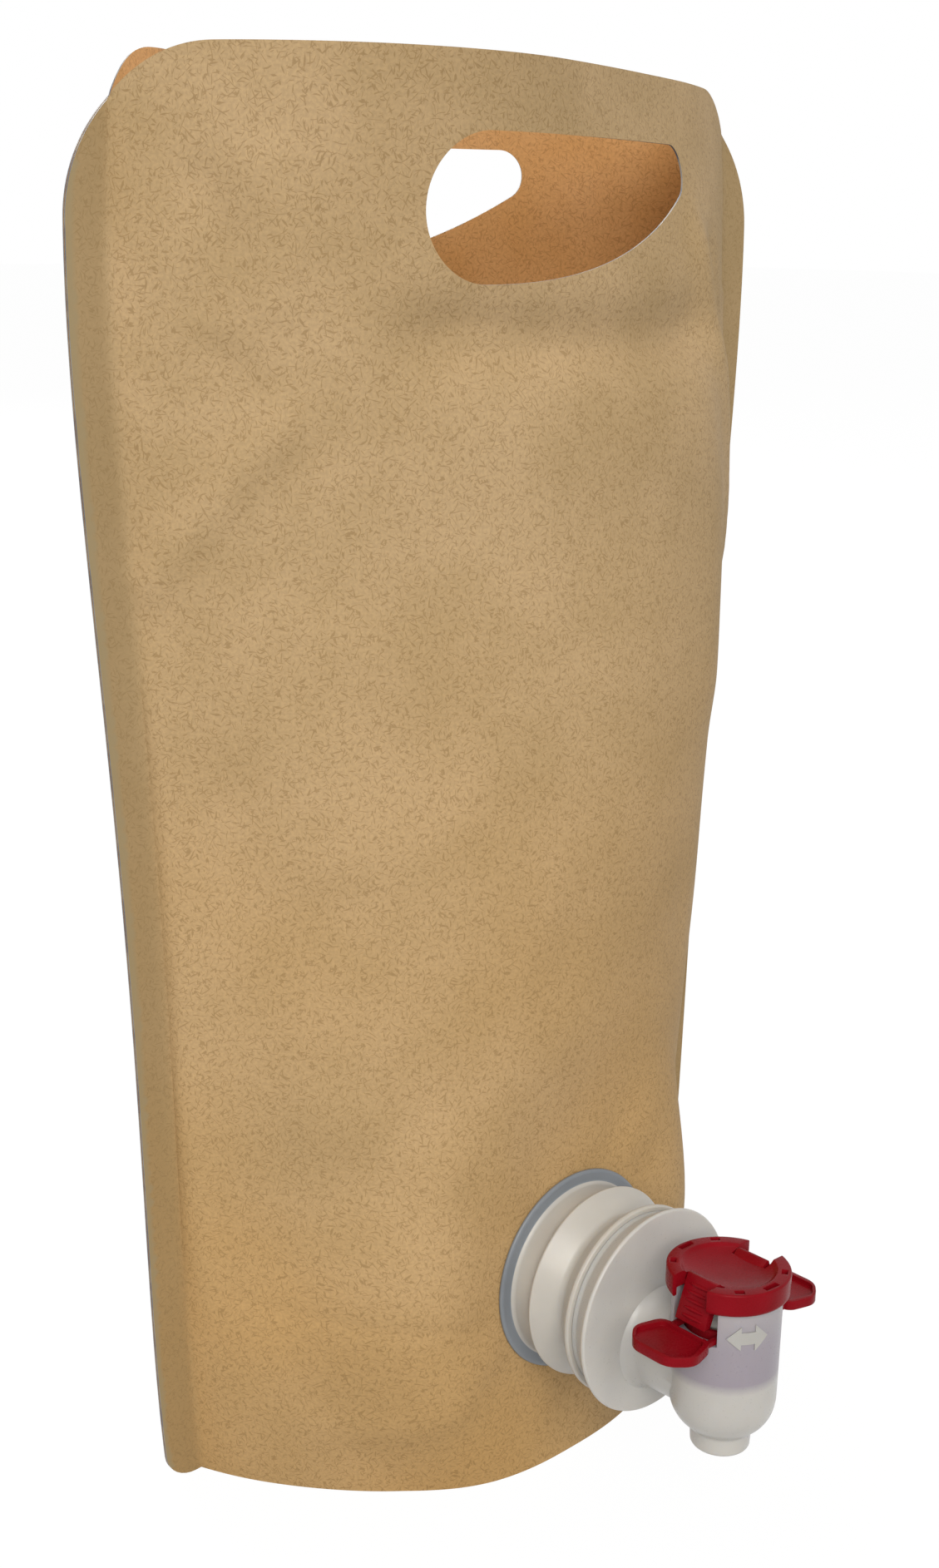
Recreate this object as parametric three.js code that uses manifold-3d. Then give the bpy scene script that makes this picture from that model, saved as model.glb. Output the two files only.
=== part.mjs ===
// A kraft-paper stand-up pouch with a dispensing tap in its front panel.
// Millimetres. X runs across the front to the right, Y runs from the front to the back, Z is up.
// The origin is under the middle of the whole object, on the surface that it stands on.

import * as THREE from 'three';
import { mergeVertices } from 'three/addons/utils/BufferGeometryUtils.js';
import Module from 'manifold-3d';

const wasm = await Module();
wasm.setup();

// Film and fits
const FILM = 0.4;              // laminated kraft film
const GAP = 0.3;               // clearance between two pieces that touch
const SLIDE_GAP = 0.5;         // radial clearance of the plunger in the barrel

// Pouch panels, as flat sheets
const POUCH_HEIGHT = 350;
const POUCH_WIDTH = 240;
const SIDE_SEAL = 10;
const TOP_CORNER_R = 34;
const BOTTOM_CORNER_R = 8;
// How steeply each half of a panel meets its side seal, in degrees, from the base to the mouth
const LEFT_SEAL_ANGLES = [64, 62.5, 52, 46.5, 78];
const RIGHT_SEAL_ANGLES = [58, 55, 62, 54.5, 32];
// How the curve gathers towards the seal: 1 is a round arc, more is flatter in the middle
const ROUNDNESS_BASE = 0.76;
const ROUNDNESS_TOP = 1.14;

// Handle hole in both panels, in flat coordinates
const HANDLE_LEFT_R = 15.8;
const HANDLE_LEFT_X = -26.5;
const HANDLE_RIGHT_R = 6.3;
const HANDLE_LOWER_R = 160;
const HANDLE_TOP_EDGE = POUCH_HEIGHT - 15.2;

// The back panel's top left corner lies flat against the side seal's plane
const BACK_CORNER_FROM = 35;
const BACK_CORNER_TO = 85;
const BACK_CORNER_LOW = POUCH_HEIGHT - 65;
const BACK_CORNER_HIGH = POUCH_HEIGHT - 5;
const BACK_CORNER_FLAT = 0.95;

// Bottom gusset
const GUSSET_DEPTH = 56;
const GUSSET_SEAL = 5;
const GUSSET_RISE = 7;
const GUSSET_END = 3;          // how far inside the side seal it ends

// Where the gland sits on the front panel, and how the tap leans there
const GLAND_SHIFT = -2.3;
const GLAND_HEIGHT = 53.5;
const TAP_TILT = 3.7;          // degrees, nose up
const TAP_ROLL = 3.7;          // degrees, top towards the right
const FLAT_PATCH_R = 36;       // the flange holds the film flat this far out
const FLAT_BLEND = 36;         // and the film returns to its own curve over this

// Gland: a ribbed neck on a wide welded flange
const FLANGE_R = 26.9;
const FLANGE_T = 1;
const NECK_R = 23.2;
const NECK_INSIDE = 3;         // how far the neck passes inside the film
const THROAT_R = 20;
const GLAND_BORE_R = 17.8;
const RIB_R = 25.3;
const RIB_OFF = 8.6;
const RIB_T = 1.3;
const WAIST_R = 20.3;
const WAIST_OFF = 15;
const MOUTH_RIB_R = 24.9;
const GLAND_LENGTH = 21.4;

// Tap body: plug, flange, inlet tube, barrel and nozzle
const PLUG_WALL = 2.5;
const PLUG_INSIDE = 2;
const TAP_FLANGE_R = 26.5;
const TAP_FLANGE_BACK_R = 23.4;
const TAP_FLANGE_OFF = 28.7;
const TAP_FACE_T = 1.5;
const INLET_R = 11.5;
const INLET_Z = -7;
const PASSAGE_R = 5.4;
const PASSAGE_Z = -10.2;
const BARREL_OFF = 50.8;       // barrel axis, out from the flange face
const BARREL_TOP_R = 13.4;
const BARREL_R = 13.1;
const BARREL_BORE_R = 10.6;
const BARREL_TOP = 17.6;
const BARREL_ROUND = -12.5;
const NOZZLE_R = 7.4;
const NOZZLE_TOP = -20.2;
const NOZZLE_END = -25.6;
const NOZZLE_BORE_R = 5.2;
const SEAT_Z = -16.2;
const SLOT_HALF = 6.8;         // half width of the barrel's side slots

// Cap with its two ribbed tabs
const CAP_R = 15;
const CAP_TOP = 21.5;
const CAP_SKIRT_END = 14.3;
const CAP_PLATE_T = 1.6;
const CAP_RIM_W = 3.4;
const DISH_DEPTH = 2;
const NOTCH_HALF = 5.2;
const NOTCH_IN = 7.2;
const RIM_SLOT_W = 1.5;
const RIM_SLOT_DEEP = 1;
const RIM_SLOT_LONG = 4.6;
const RIM_SLOT_SHORT = 2.4;
const RIM_SLOT_ANGLES = [55, 92, 129];
const TAB_HALF = 4.5;
const TAB_T = 2.2;
const TAB_TOP_X = 9.6;
const TAB_END_X = 13.6;
const TAB_END_Z = 10.8;
const TAB_RIBS = 5;
const TAB_RIB_RISE = 0.4;
const TAB_RIB_T = 0.7;
const BRIDGE_T = 0.8;

// Trigger: two wings on a plunger that lifts
const STROKE = 4;
const WING_Z = 7.3;
const WING_T = 1.2;
const WING_RIM_H = 1.1;
const WING_RIM_W = 1.2;
const WING_ROOT_X = 14.2;
const WING_ROOT_HALF = 7.6;
const WING_WIDE_X = 22.4;
const WING_WIDE_HALF = 9.8;
const WING_TIP_X = 27.6;
const WING_TIP_HALF = 5.5;
const WING_CORNER = 2.2;
const WINDOW_HALF = 5;
const WINDOW_OUT_X = 14.6;
const PLUNGER_END = -4;
const PLUNGER_FLOOR_T = 3.1;
const PLUNGER_WALL = 1.2;
const PLUNGER_TOP = 9;
const STEM_R = 2.4;
const STEM_END = -14.7;

// Valve seal, plunger ring and return bellows
const VALVE_R = 7.4;
const VALVE_EDGE_T = 1.5;
const VALVE_COLLAR_R = 4.2;
const VALVE_COLLAR_TOP = -12.4;
const RING_T = 1.6;
const RING_IN_R = 9;
const BELLOWS_R = 7.4;
const BELLOWS_FOLD = 1.6;
const BELLOWS_WALL = 0.8;
const BELLOWS_FOLDS = 4;

// Fineness of the meshes
const PANEL_COLUMNS = 24;
const PANEL_ROWS = 14;
const CORNER_ROWS = 5;
const SECTION_STEPS = 40;
const ROUND_BIG = 32;
const ROUND_SMALL = 24;
const THROUGH = 3;             // how far a cutting shape passes a surface

const COLOURS = {
  kraft: 0xb4976e,
  translucent: 0xc9c2b8,
  red: 0x9c1c26,
  elastomer: 0xd8d4cc,
};

const radians = THREE.MathUtils.degToRad;

function material(color, roughness) {
  return new THREE.MeshStandardMaterial({ color, roughness, metalness: 0 });
}

// Curved sheet: the section of a panel at each height

const SEAL_LINE = POUCH_WIDTH / 2 - SIDE_SEAL;

function throughKnots(values, share) {
  // the smooth curve that passes through evenly spaced values
  const last = values.length - 1;
  return values.reduce((sum, value, i) => {
    const weight = values.reduce((product, _, j) => {
      return j === i ? product : product * (share * last - j) / (i - j);
    }, 1);
    return sum + value * weight;
  }, 0);
}

function halfSection(sealAngle, middleAngle, roundness) {
  // walks from the middle of the panel out to the seal line, turning as it goes
  const across = [0];
  const deep = [0];
  const step = SEAL_LINE / SECTION_STEPS;
  const turn = (i) => {
    const share = (i / SECTION_STEPS) ** roundness;
    return radians(middleAngle + (sealAngle - middleAngle) * share);
  };
  for (let i = 1; i <= SECTION_STEPS; i += 1) {
    const before = turn(i - 1);
    const after = turn(i);
    across.push(across[i - 1] + step * (Math.cos(before) + Math.cos(after)) / 2);
    deep.push(deep[i - 1] + step * (Math.sin(before) + Math.sin(after)) / 2);
  }
  return { across, deep };
}

const sections = new Map();

function section(z) {
  if (sections.has(z)) return sections.get(z);
  const share = THREE.MathUtils.clamp(z / POUCH_HEIGHT, 0, 1);
  const roundness = ROUNDNESS_BASE + (ROUNDNESS_TOP - ROUNDNESS_BASE) * share;
  const leftAngle = throughKnots(LEFT_SEAL_ANGLES, share);
  const rightAngle = throughKnots(RIGHT_SEAL_ANGLES, share);
  // the middle leans until both halves are equally deep at their seals
  let lean = 0;
  let left;
  let right;
  for (let pass = 0; pass < 8; pass += 1) {
    right = halfSection(rightAngle, lean, roundness);
    left = halfSection(leftAngle, -lean, roundness);
    const uneven = right.deep[SECTION_STEPS] - left.deep[SECTION_STEPS];
    lean -= THREE.MathUtils.radToDeg(uneven / (SEAL_LINE * 1.2));
  }
  const found = {
    left,
    right,
    depth: (right.deep[SECTION_STEPS] + left.deep[SECTION_STEPS]) / 2,
    middle: (right.across[SECTION_STEPS] - left.across[SECTION_STEPS]) / 2,
  };
  sections.set(z, found);
  return found;
}

function freeSheet(s, z) {
  // flat coordinates to the bulged sheet, before the gland flattens it
  const { left, right, depth, middle } = section(z);
  const half = s >= 0 ? right : left;
  const along = Math.min(Math.abs(s) / SEAL_LINE, 1) * SECTION_STEPS;
  const i = Math.min(Math.floor(along), SECTION_STEPS - 1);
  const f = along - i;
  const seal = Math.max(Math.abs(s) - SEAL_LINE, 0);
  const across = half.across[i] * (1 - f) + half.across[i + 1] * f + seal;
  const deep = half.deep[i] * (1 - f) + half.deep[i + 1] * f;
  return new THREE.Vector3(Math.sign(s) * across - middle, deep - depth, z);
}

const tapTurn = new THREE.Euler(-radians(TAP_TILT), radians(TAP_ROLL), 0);
const tapOut = new THREE.Vector3(0, -1, 0).applyEuler(tapTurn);
const tapSeat = freeSheet(GLAND_SHIFT, GLAND_HEIGHT);
const sheetSeat = tapSeat.clone().addScaledVector(tapOut, -(FLANGE_T + GAP + FILM + GAP / 2));

function frontSheet(s, z) {
  const point = freeSheet(s, z);
  const away = Math.hypot(point.x - sheetSeat.x, z - sheetSeat.z);
  const free = THREE.MathUtils.smoothstep(away, FLAT_PATCH_R, FLAT_PATCH_R + FLAT_BLEND);
  const slope = tapOut.x * (point.x - sheetSeat.x) + tapOut.z * (z - sheetSeat.z);
  const flat = sheetSeat.y - slope / tapOut.y;
  point.y = flat + (point.y - flat) * free;
  return point;
}

function backSheet(s, z) {
  const point = freeSheet(s, z);
  const aside = THREE.MathUtils.smoothstep(-s, BACK_CORNER_FROM, BACK_CORNER_TO);
  const high = THREE.MathUtils.smoothstep(z, BACK_CORNER_LOW, BACK_CORNER_HIGH);
  point.y *= BACK_CORNER_FLAT * aside * high - 1;
  return point;
}

function offSheet(sheet, s, z, off) {
  // a point off the sheet, outwards where off is above zero
  const step = 0.5;
  const across = sheet(s + step, z).sub(sheet(s - step, z));
  const up = sheet(s, z + step).sub(sheet(s, z - step));
  const normal = across.cross(up).normalize();
  if (sheet === backSheet) normal.negate();
  return sheet(s, z).addScaledVector(normal, off);
}

// Closed meshes from grids of points

function slab(outer, inner) {
  // outer and inner are rows of points; the body between them is closed all round
  const rows = outer.length;
  const columns = outer[0].length;
  const points = [...outer.flat(), ...inner.flat()];
  const at = (layer, r, c) => layer * rows * columns + r * columns + c;
  const index = [];
  const quad = (a, b, c, d) => index.push(a, b, c, a, c, d);
  for (let r = 0; r < rows - 1; r += 1) {
    for (let c = 0; c < columns - 1; c += 1) {
      quad(at(0, r, c), at(0, r, c + 1), at(0, r + 1, c + 1), at(0, r + 1, c));
      quad(at(1, r, c), at(1, r + 1, c), at(1, r + 1, c + 1), at(1, r, c + 1));
    }
    const end = columns - 1;
    quad(at(0, r, 0), at(0, r + 1, 0), at(1, r + 1, 0), at(1, r, 0));
    quad(at(0, r + 1, end), at(0, r, end), at(1, r, end), at(1, r + 1, end));
  }
  for (let c = 0; c < columns - 1; c += 1) {
    const end = rows - 1;
    quad(at(0, 0, c + 1), at(0, 0, c), at(1, 0, c), at(1, 0, c + 1));
    quad(at(0, end, c), at(0, end, c + 1), at(1, end, c + 1), at(1, end, c));
  }
  const geometry = new THREE.BufferGeometry();
  geometry.setAttribute('position', new THREE.Float32BufferAttribute(
    points.flatMap((point) => point.toArray()), 3));
  geometry.setIndex(index);
  return geometry;
}

function signedVolume(vertices, triangles) {
  const corner = (i) => new THREE.Vector3().fromArray(vertices, triangles[i] * 3);
  let sum = 0;
  for (let i = 0; i < triangles.length; i += 3) {
    sum += corner(i).dot(corner(i + 1).cross(corner(i + 2)));
  }
  return sum / 6;
}

function solid(geometry) {
  // three.js geometry to a closed solid that faces outwards
  const bare = geometry.clone();
  bare.deleteAttribute('normal');
  bare.deleteAttribute('uv');
  const merged = mergeVertices(bare, 1e-4);
  const vertices = new Float32Array(merged.attributes.position.array);
  const all = Array.from(merged.index.array);
  const triangles = [];
  for (let i = 0; i < all.length; i += 3) {
    const [a, b, c] = all.slice(i, i + 3);
    if (a !== b && b !== c && c !== a) triangles.push(a, b, c);
  }
  if (signedVolume(vertices, triangles) < 0) triangles.reverse();
  const mesh = new wasm.Mesh({
    numProp: 3, vertProperties: vertices, triVerts: new Uint32Array(triangles),
  });
  return new wasm.Manifold(mesh);
}

function toGeometry(body) {
  const mesh = body.getMesh();
  const geometry = new THREE.BufferGeometry();
  geometry.setAttribute('position', new THREE.BufferAttribute(
    new Float32Array(mesh.vertProperties), 3));
  geometry.setIndex(new THREE.BufferAttribute(new Uint32Array(mesh.triVerts), 1));
  geometry.computeVertexNormals();
  return geometry;
}

// Turned shapes in the tap's own frame: it points along -Y and its barrel stands along Z

function turned(profile, sides) {
  const points = profile.map(([radius, height]) => new THREE.Vector2(radius, height));
  return new THREE.LatheGeometry(points, sides);
}

function turnedOut(profile, sides) {
  // profile points are radius and distance out from the flange face
  return solid(turned(profile, sides).rotateX(Math.PI));
}

function turnedUp(profile, sides) {
  // profile points are radius and height, about the barrel's axis
  return solid(turned(profile, sides).rotateX(Math.PI / 2).translate(0, -BARREL_OFF, 0));
}

function block(lowX, highX, lowY, highY, lowZ, highZ) {
  const box = new THREE.BoxGeometry(highX - lowX, highY - lowY, highZ - lowZ);
  return solid(box.translate((lowX + highX) / 2, (lowY + highY) / 2, (lowZ + highZ) / 2));
}

function rod(radius, fromOut, toOut, z, sides) {
  // a round rod along the way out of the pouch
  const length = toOut - fromOut;
  const geometry = new THREE.CylinderGeometry(radius, radius, length, sides);
  return solid(geometry.translate(0, -(fromOut + toOut) / 2, z));
}

function inTapFrame(geometry) {
  // places a shape made in the tap's frame where the tap sits on the pouch
  const frame = new THREE.Matrix4().makeRotationFromEuler(tapTurn).setPosition(tapSeat);
  return geometry.clone().applyMatrix4(frame);
}

// Panels

function edgeOfPanel(z) {
  const half = POUCH_WIDTH / 2;
  const overTop = z - (POUCH_HEIGHT - TOP_CORNER_R);
  if (overTop > 0) {
    const run = Math.sqrt(Math.max(TOP_CORNER_R ** 2 - overTop ** 2, 0));
    return half - TOP_CORNER_R + run;
  }
  const underBase = BOTTOM_CORNER_R - z;
  if (underBase > 0) {
    const run = Math.sqrt(Math.max(BOTTOM_CORNER_R ** 2 - underBase ** 2, 0));
    return half - BOTTOM_CORNER_R + run;
  }
  return half;
}

function panelHeights() {
  const heights = [];
  for (let i = 0; i < CORNER_ROWS; i += 1) {
    const turn = (Math.PI / 2) * (i / CORNER_ROWS);
    heights.push(BOTTOM_CORNER_R * (1 - Math.cos(turn)));
  }
  const straight = POUCH_HEIGHT - TOP_CORNER_R - BOTTOM_CORNER_R;
  for (let i = 0; i < PANEL_ROWS; i += 1) {
    heights.push(BOTTOM_CORNER_R + straight * (i / PANEL_ROWS));
  }
  for (let i = 0; i <= CORNER_ROWS; i += 1) {
    const turn = (Math.PI / 2) * (i / CORNER_ROWS);
    heights.push(POUCH_HEIGHT - TOP_CORNER_R + TOP_CORNER_R * Math.sin(turn));
  }
  return heights;
}

function bentSlab(sheet, heights, lowEdge, highEdge, columns, low, high) {
  // a slab over a region of the flat sheet, between two distances off it
  const layer = (off) => heights.map((z) => {
    const from = lowEdge(z);
    const to = highEdge(z);
    return Array.from({ length: columns + 1 }, (_, c) => {
      return offSheet(sheet, from + (to - from) * (c / columns), z, off);
    });
  });
  return solid(slab(layer(high), layer(low)));
}

function handleOutline() {
  // one straight top edge, two round ends and a lower edge that is a wide arc
  const leftY = HANDLE_TOP_EDGE - HANDLE_LEFT_R;
  const rightY = HANDLE_TOP_EDGE - HANDLE_RIGHT_R;
  const lowerY = HANDLE_TOP_EDGE - 2 * HANDLE_LEFT_R + HANDLE_LOWER_R;
  const drop = lowerY - rightY;
  const run = Math.sqrt((HANDLE_LOWER_R - HANDLE_RIGHT_R) ** 2 - drop ** 2);
  const meet = Math.atan2(-drop, run);
  const arc = (x, y, radius, from, to, steps) => {
    return Array.from({ length: steps + 1 }, (_, i) => {
      const turn = from + (to - from) * (i / steps);
      return new THREE.Vector2(x + radius * Math.cos(turn), y + radius * Math.sin(turn));
    });
  };
  return [
    ...arc(HANDLE_LEFT_X, leftY, HANDLE_LEFT_R, Math.PI / 2, 1.5 * Math.PI, 12),
    ...arc(HANDLE_LEFT_X, lowerY, HANDLE_LOWER_R, -Math.PI / 2, meet, 8).slice(1),
    ...arc(HANDLE_LEFT_X + run, rightY, HANDLE_RIGHT_R, meet, Math.PI / 2, 8).slice(1),
  ];
}

function crossings(outline, z) {
  // where a level line crosses a convex outline
  const found = [];
  outline.forEach((a, i) => {
    const b = outline[(i + 1) % outline.length];
    if ((a.y - z) * (b.y - z) <= 0 && a.y !== b.y) {
      found.push(a.x + (b.x - a.x) * (z - a.y) / (b.y - a.y));
    }
  });
  return [Math.min(...found), Math.max(...found)];
}

function handlePlug(sheet) {
  const outline = handleOutline();
  const heights = outline.map((point) => point.y);
  const lowest = Math.min(...heights);
  const span = HANDLE_TOP_EDGE - lowest;
  const rows = 10;
  const levels = Array.from({ length: rows + 1 }, (_, i) => {
    const share = (1 - Math.cos((Math.PI * i) / rows)) / 2;
    return lowest + span * (0.002 + 0.996 * share);
  });
  const edge = (end) => (z) => crossings(outline, z)[end];
  return bentSlab(sheet, levels, edge(0), edge(1), 10, -THROUGH, THROUGH);
}

function panel(sheet) {
  const edge = (side) => (z) => side * edgeOfPanel(z);
  const inner = GAP / 2;
  const whole = bentSlab(
    sheet, panelHeights(), edge(-1), edge(1), PANEL_COLUMNS, inner, inner + FILM);
  return whole.subtract(handlePlug(sheet));
}

function frontPanel() {
  const hole = rod(THROAT_R + GAP, -FLANGE_T - THROUGH * 3, THROUGH, 0, ROUND_BIG);
  const placed = solid(inTapFrame(toGeometry(hole)));
  return toGeometry(panel(frontSheet).subtract(placed));
}

function backPanel() {
  return toGeometry(panel(backSheet));
}

// Bottom gusset: a skirt along both panels, and a vault between them

function bottomGusset() {
  const reach = SEAL_LINE - GUSSET_END;
  const columns = 22;
  const vaultSteps = 12;
  const ribbon = (inset) => {
    const rows = [];
    const wall = (sheet, s, z) => offSheet(sheet, s, z, GAP / 2 - GAP - inset);
    for (let c = 0; c <= columns; c += 1) {
      const s = -reach + 2 * reach * (c / columns);
      const front = wall(frontSheet, s, GUSSET_SEAL);
      const back = wall(backSheet, s, GUSSET_SEAL);
      const half = (back.y - front.y) / 2 + inset;
      const slack = Math.max(GUSSET_DEPTH ** 2 - half ** 2, 0);
      const rise = Math.sqrt(slack + GUSSET_RISE ** 2) - inset;
      const row = [wall(frontSheet, s, 0)];
      for (let i = 0; i <= vaultSteps; i += 1) {
        const turn = Math.PI * (i / vaultSteps);
        const side = (1 - Math.cos(turn)) / 2;
        const point = front.clone().lerp(back, side);
        point.z += rise * Math.sin(turn);
        row.push(point);
      }
      row.push(wall(backSheet, s, 0));
      rows.push(row);
    }
    return rows;
  };
  return toGeometry(solid(slab(ribbon(0), ribbon(FILM))));
}

// Gland

function spoutGland() {
  const mouthFace = GLAND_LENGTH;
  const profile = [
    [GLAND_BORE_R, -FLANGE_T - NECK_INSIDE],
    [THROAT_R, -FLANGE_T - NECK_INSIDE],
    [THROAT_R, -FLANGE_T],
    [FLANGE_R, -FLANGE_T],
    [FLANGE_R, -FLANGE_T / 2],
    [FLANGE_R - FLANGE_T / 2, 0],
    [NECK_R, 0],
    [NECK_R, RIB_OFF - RIB_T / 2],
    [RIB_R, RIB_OFF - RIB_T / 2],
    [RIB_R, RIB_OFF + RIB_T / 2],
    [WAIST_R, WAIST_OFF - RIB_T],
    [WAIST_R, WAIST_OFF],
    [MOUTH_RIB_R, mouthFace - RIB_T],
    [MOUTH_RIB_R, mouthFace - RIB_T / 2],
    [MOUTH_RIB_R - RIB_T / 2, mouthFace],
    [GLAND_BORE_R, mouthFace],
    [GLAND_BORE_R, -FLANGE_T - NECK_INSIDE],
  ];
  return toGeometry(turnedOut(profile, ROUND_BIG));
}

// Tap body

function tapBody() {
  const plugR = GLAND_BORE_R - GAP;
  const flangeBack = GLAND_LENGTH + GAP;
  const faceBack = TAP_FLANGE_OFF - TAP_FACE_T;
  const flange = turnedOut([
    [0, faceBack],
    [plugR - PLUG_WALL, faceBack],
    [plugR - PLUG_WALL, -PLUG_INSIDE],
    [plugR, -PLUG_INSIDE],
    [plugR, flangeBack],
    [TAP_FLANGE_BACK_R, flangeBack],
    [TAP_FLANGE_BACK_R, flangeBack + TAP_FACE_T],
    [TAP_FLANGE_R, faceBack],
    [TAP_FLANGE_R, TAP_FLANGE_OFF - TAP_FACE_T / 3],
    [TAP_FLANGE_R - TAP_FACE_T / 3, TAP_FLANGE_OFF],
    [0, TAP_FLANGE_OFF],
  ], ROUND_BIG);
  const inlet = rod(INLET_R, faceBack + TAP_FACE_T / 3, BARREL_OFF, INLET_Z, ROUND_SMALL);
  const barrel = turnedUp([
    [0, BARREL_TOP],
    [BARREL_TOP_R, BARREL_TOP],
    [BARREL_R, BARREL_ROUND],
    ...roundedFoot(),
    [NOZZLE_R, NOZZLE_TOP],
    [NOZZLE_R, NOZZLE_END + FLANGE_T / 2],
    [NOZZLE_R - FLANGE_T / 2, NOZZLE_END],
    [0, NOZZLE_END],
  ], ROUND_BIG);
  const bore = turnedUp([
    [0, BARREL_TOP + THROUGH],
    [BARREL_BORE_R, BARREL_TOP + THROUGH],
    [BARREL_BORE_R, SEAT_Z],
    [NOZZLE_BORE_R, SEAT_Z],
    [NOZZLE_BORE_R, NOZZLE_END - THROUGH],
    [0, NOZZLE_END - THROUGH],
  ], ROUND_SMALL);
  const passage = rod(PASSAGE_R, faceBack - THROUGH, BARREL_OFF, PASSAGE_Z, ROUND_SMALL / 2);
  const slots = block(
    -CAP_R - THROUGH, CAP_R + THROUGH, -BARREL_OFF - SLOT_HALF, -BARREL_OFF + SLOT_HALF,
    WING_Z - SLIDE_GAP, BARREL_TOP + THROUGH);
  const whole = flange.add(inlet).add(barrel);
  return toGeometry(whole.subtract(bore).subtract(passage).subtract(slots));
}

function roundedFoot() {
  // the barrel's end closes in to the nozzle on a quarter ellipse
  const steps = 4;
  const deep = BARREL_ROUND - NOZZLE_TOP;
  const wide = BARREL_R - NOZZLE_R;
  return Array.from({ length: steps }, (_, i) => {
    const turn = (Math.PI / 2) * ((i + 1) / (steps + 1));
    return [NOZZLE_R + wide * Math.cos(turn), BARREL_ROUND - deep * Math.sin(turn)];
  });
}

// Cap with ribbed tabs

function tapCap() {
  const plateUnder = BARREL_TOP + GAP;
  const skirtIn = BARREL_TOP_R + GAP;
  const dishR = CAP_R - CAP_RIM_W;
  const dishBottom = Math.max(CAP_TOP - DISH_DEPTH, plateUnder + CAP_PLATE_T);
  const deep = CAP_TOP - dishBottom;
  let cap = turnedUp([
    [0, plateUnder],
    [skirtIn, plateUnder],
    [skirtIn, CAP_SKIRT_END],
    [CAP_R, CAP_SKIRT_END],
    [CAP_R, CAP_TOP - RIM_SLOT_DEEP / 2],
    [CAP_R - RIM_SLOT_DEEP / 2, CAP_TOP],
    [dishR, CAP_TOP],
    [dishR * 0.95, CAP_TOP - deep * 0.25],
    [dishR * 0.7, CAP_TOP - deep * 0.75],
    [dishR * 0.35, CAP_TOP - deep * 0.97],
    [0, dishBottom],
  ], ROUND_BIG);
  for (const side of [-1, 1]) {
    const low = side < 0 ? -CAP_R - THROUGH : NOTCH_IN;
    const high = side < 0 ? -NOTCH_IN : CAP_R + THROUGH;
    cap = cap.subtract(block(
      low, high, -BARREL_OFF - NOTCH_HALF, -BARREL_OFF + NOTCH_HALF,
      CAP_SKIRT_END - THROUGH, CAP_TOP + THROUGH));
    for (const angle of RIM_SLOT_ANGLES) cap = cap.subtract(rimSlot(side * angle));
  }
  return toGeometry(cap.add(ribbedTab(-1)).add(ribbedTab(1)));
}

function rimSlot(angle) {
  const middle = Math.abs(Math.abs(angle) - 90) < 20;
  const long = middle ? RIM_SLOT_LONG : RIM_SLOT_SHORT;
  const box = new THREE.BoxGeometry(RIM_SLOT_W, long, RIM_SLOT_DEEP * 2);
  box.translate(CAP_R - CAP_RIM_W / 2, 0, CAP_TOP);
  box.rotateZ(radians(angle));
  return solid(box.translate(0, -BARREL_OFF, 0));
}

function sidePrism(outline, halfWidth, side) {
  // an outline in X and Z, drawn for +X, as a prism across Y on either side of the barrel
  const shape = new THREE.Shape(outline.map(([x, z]) => new THREE.Vector2(x, z)));
  const prism = new THREE.ExtrudeGeometry(shape, { depth: 2 * halfWidth, bevelEnabled: false });
  prism.rotateX(Math.PI / 2).translate(0, halfWidth, 0);
  if (side < 0) prism.rotateZ(Math.PI);
  return solid(prism.translate(0, -BARREL_OFF, 0));
}

function ribbedTab(side) {
  const plateUnder = BARREL_TOP + GAP;
  const plateTop = plateUnder + CAP_PLATE_T;
  const root = NOTCH_IN - TAB_T / 3;
  const topZ = CAP_TOP - GAP;
  let tab = sidePrism([
    [root, plateUnder],
    [root, plateTop],
    [TAB_TOP_X - TAB_T / 2, topZ],
    [TAB_TOP_X, topZ],
    [TAB_END_X, TAB_END_Z],
    [TAB_END_X - TAB_T, TAB_END_Z],
    [TAB_TOP_X - TAB_T / 2, plateUnder],
  ], TAB_HALF, side);
  const slope = (TAB_END_X - TAB_TOP_X) / (topZ - TAB_END_Z);
  for (let i = 0; i < TAB_RIBS; i += 1) {
    const z = TAB_END_Z + (topZ - TAB_END_Z) * ((i + 0.9) / (TAB_RIBS + 0.6));
    const x = TAB_TOP_X + slope * (topZ - z);
    const low = z - TAB_RIB_T / 2;
    const high = z + TAB_RIB_T / 2;
    const rise = TAB_RIB_RISE;
    const rib = sidePrism([
      [x - rise, low],
      [x + slope * TAB_RIB_T / 2 + rise / 2, low],
      [x + rise, z],
      [x - slope * TAB_RIB_T / 2 + rise / 2, high],
      [x - rise, high],
    ], TAB_HALF * 0.72, side);
    tab = tab.add(rib);
  }
  const bridgeZ = CAP_SKIRT_END + BRIDGE_T;
  const bridgeX = TAB_TOP_X + slope * (topZ - bridgeZ);
  const bridge = sidePrism([
    [bridgeX - TAB_T / 2, bridgeZ - BRIDGE_T / 2],
    [CAP_R - BRIDGE_T, bridgeZ - BRIDGE_T / 2],
    [CAP_R - BRIDGE_T, bridgeZ + BRIDGE_T / 2],
    [bridgeX - TAB_T / 2, bridgeZ + BRIDGE_T / 2],
  ], NOTCH_HALF + BRIDGE_T / 4, side);
  return tab.add(bridge);
}

// Trigger: wings, arms, plunger cup and valve stem

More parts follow.
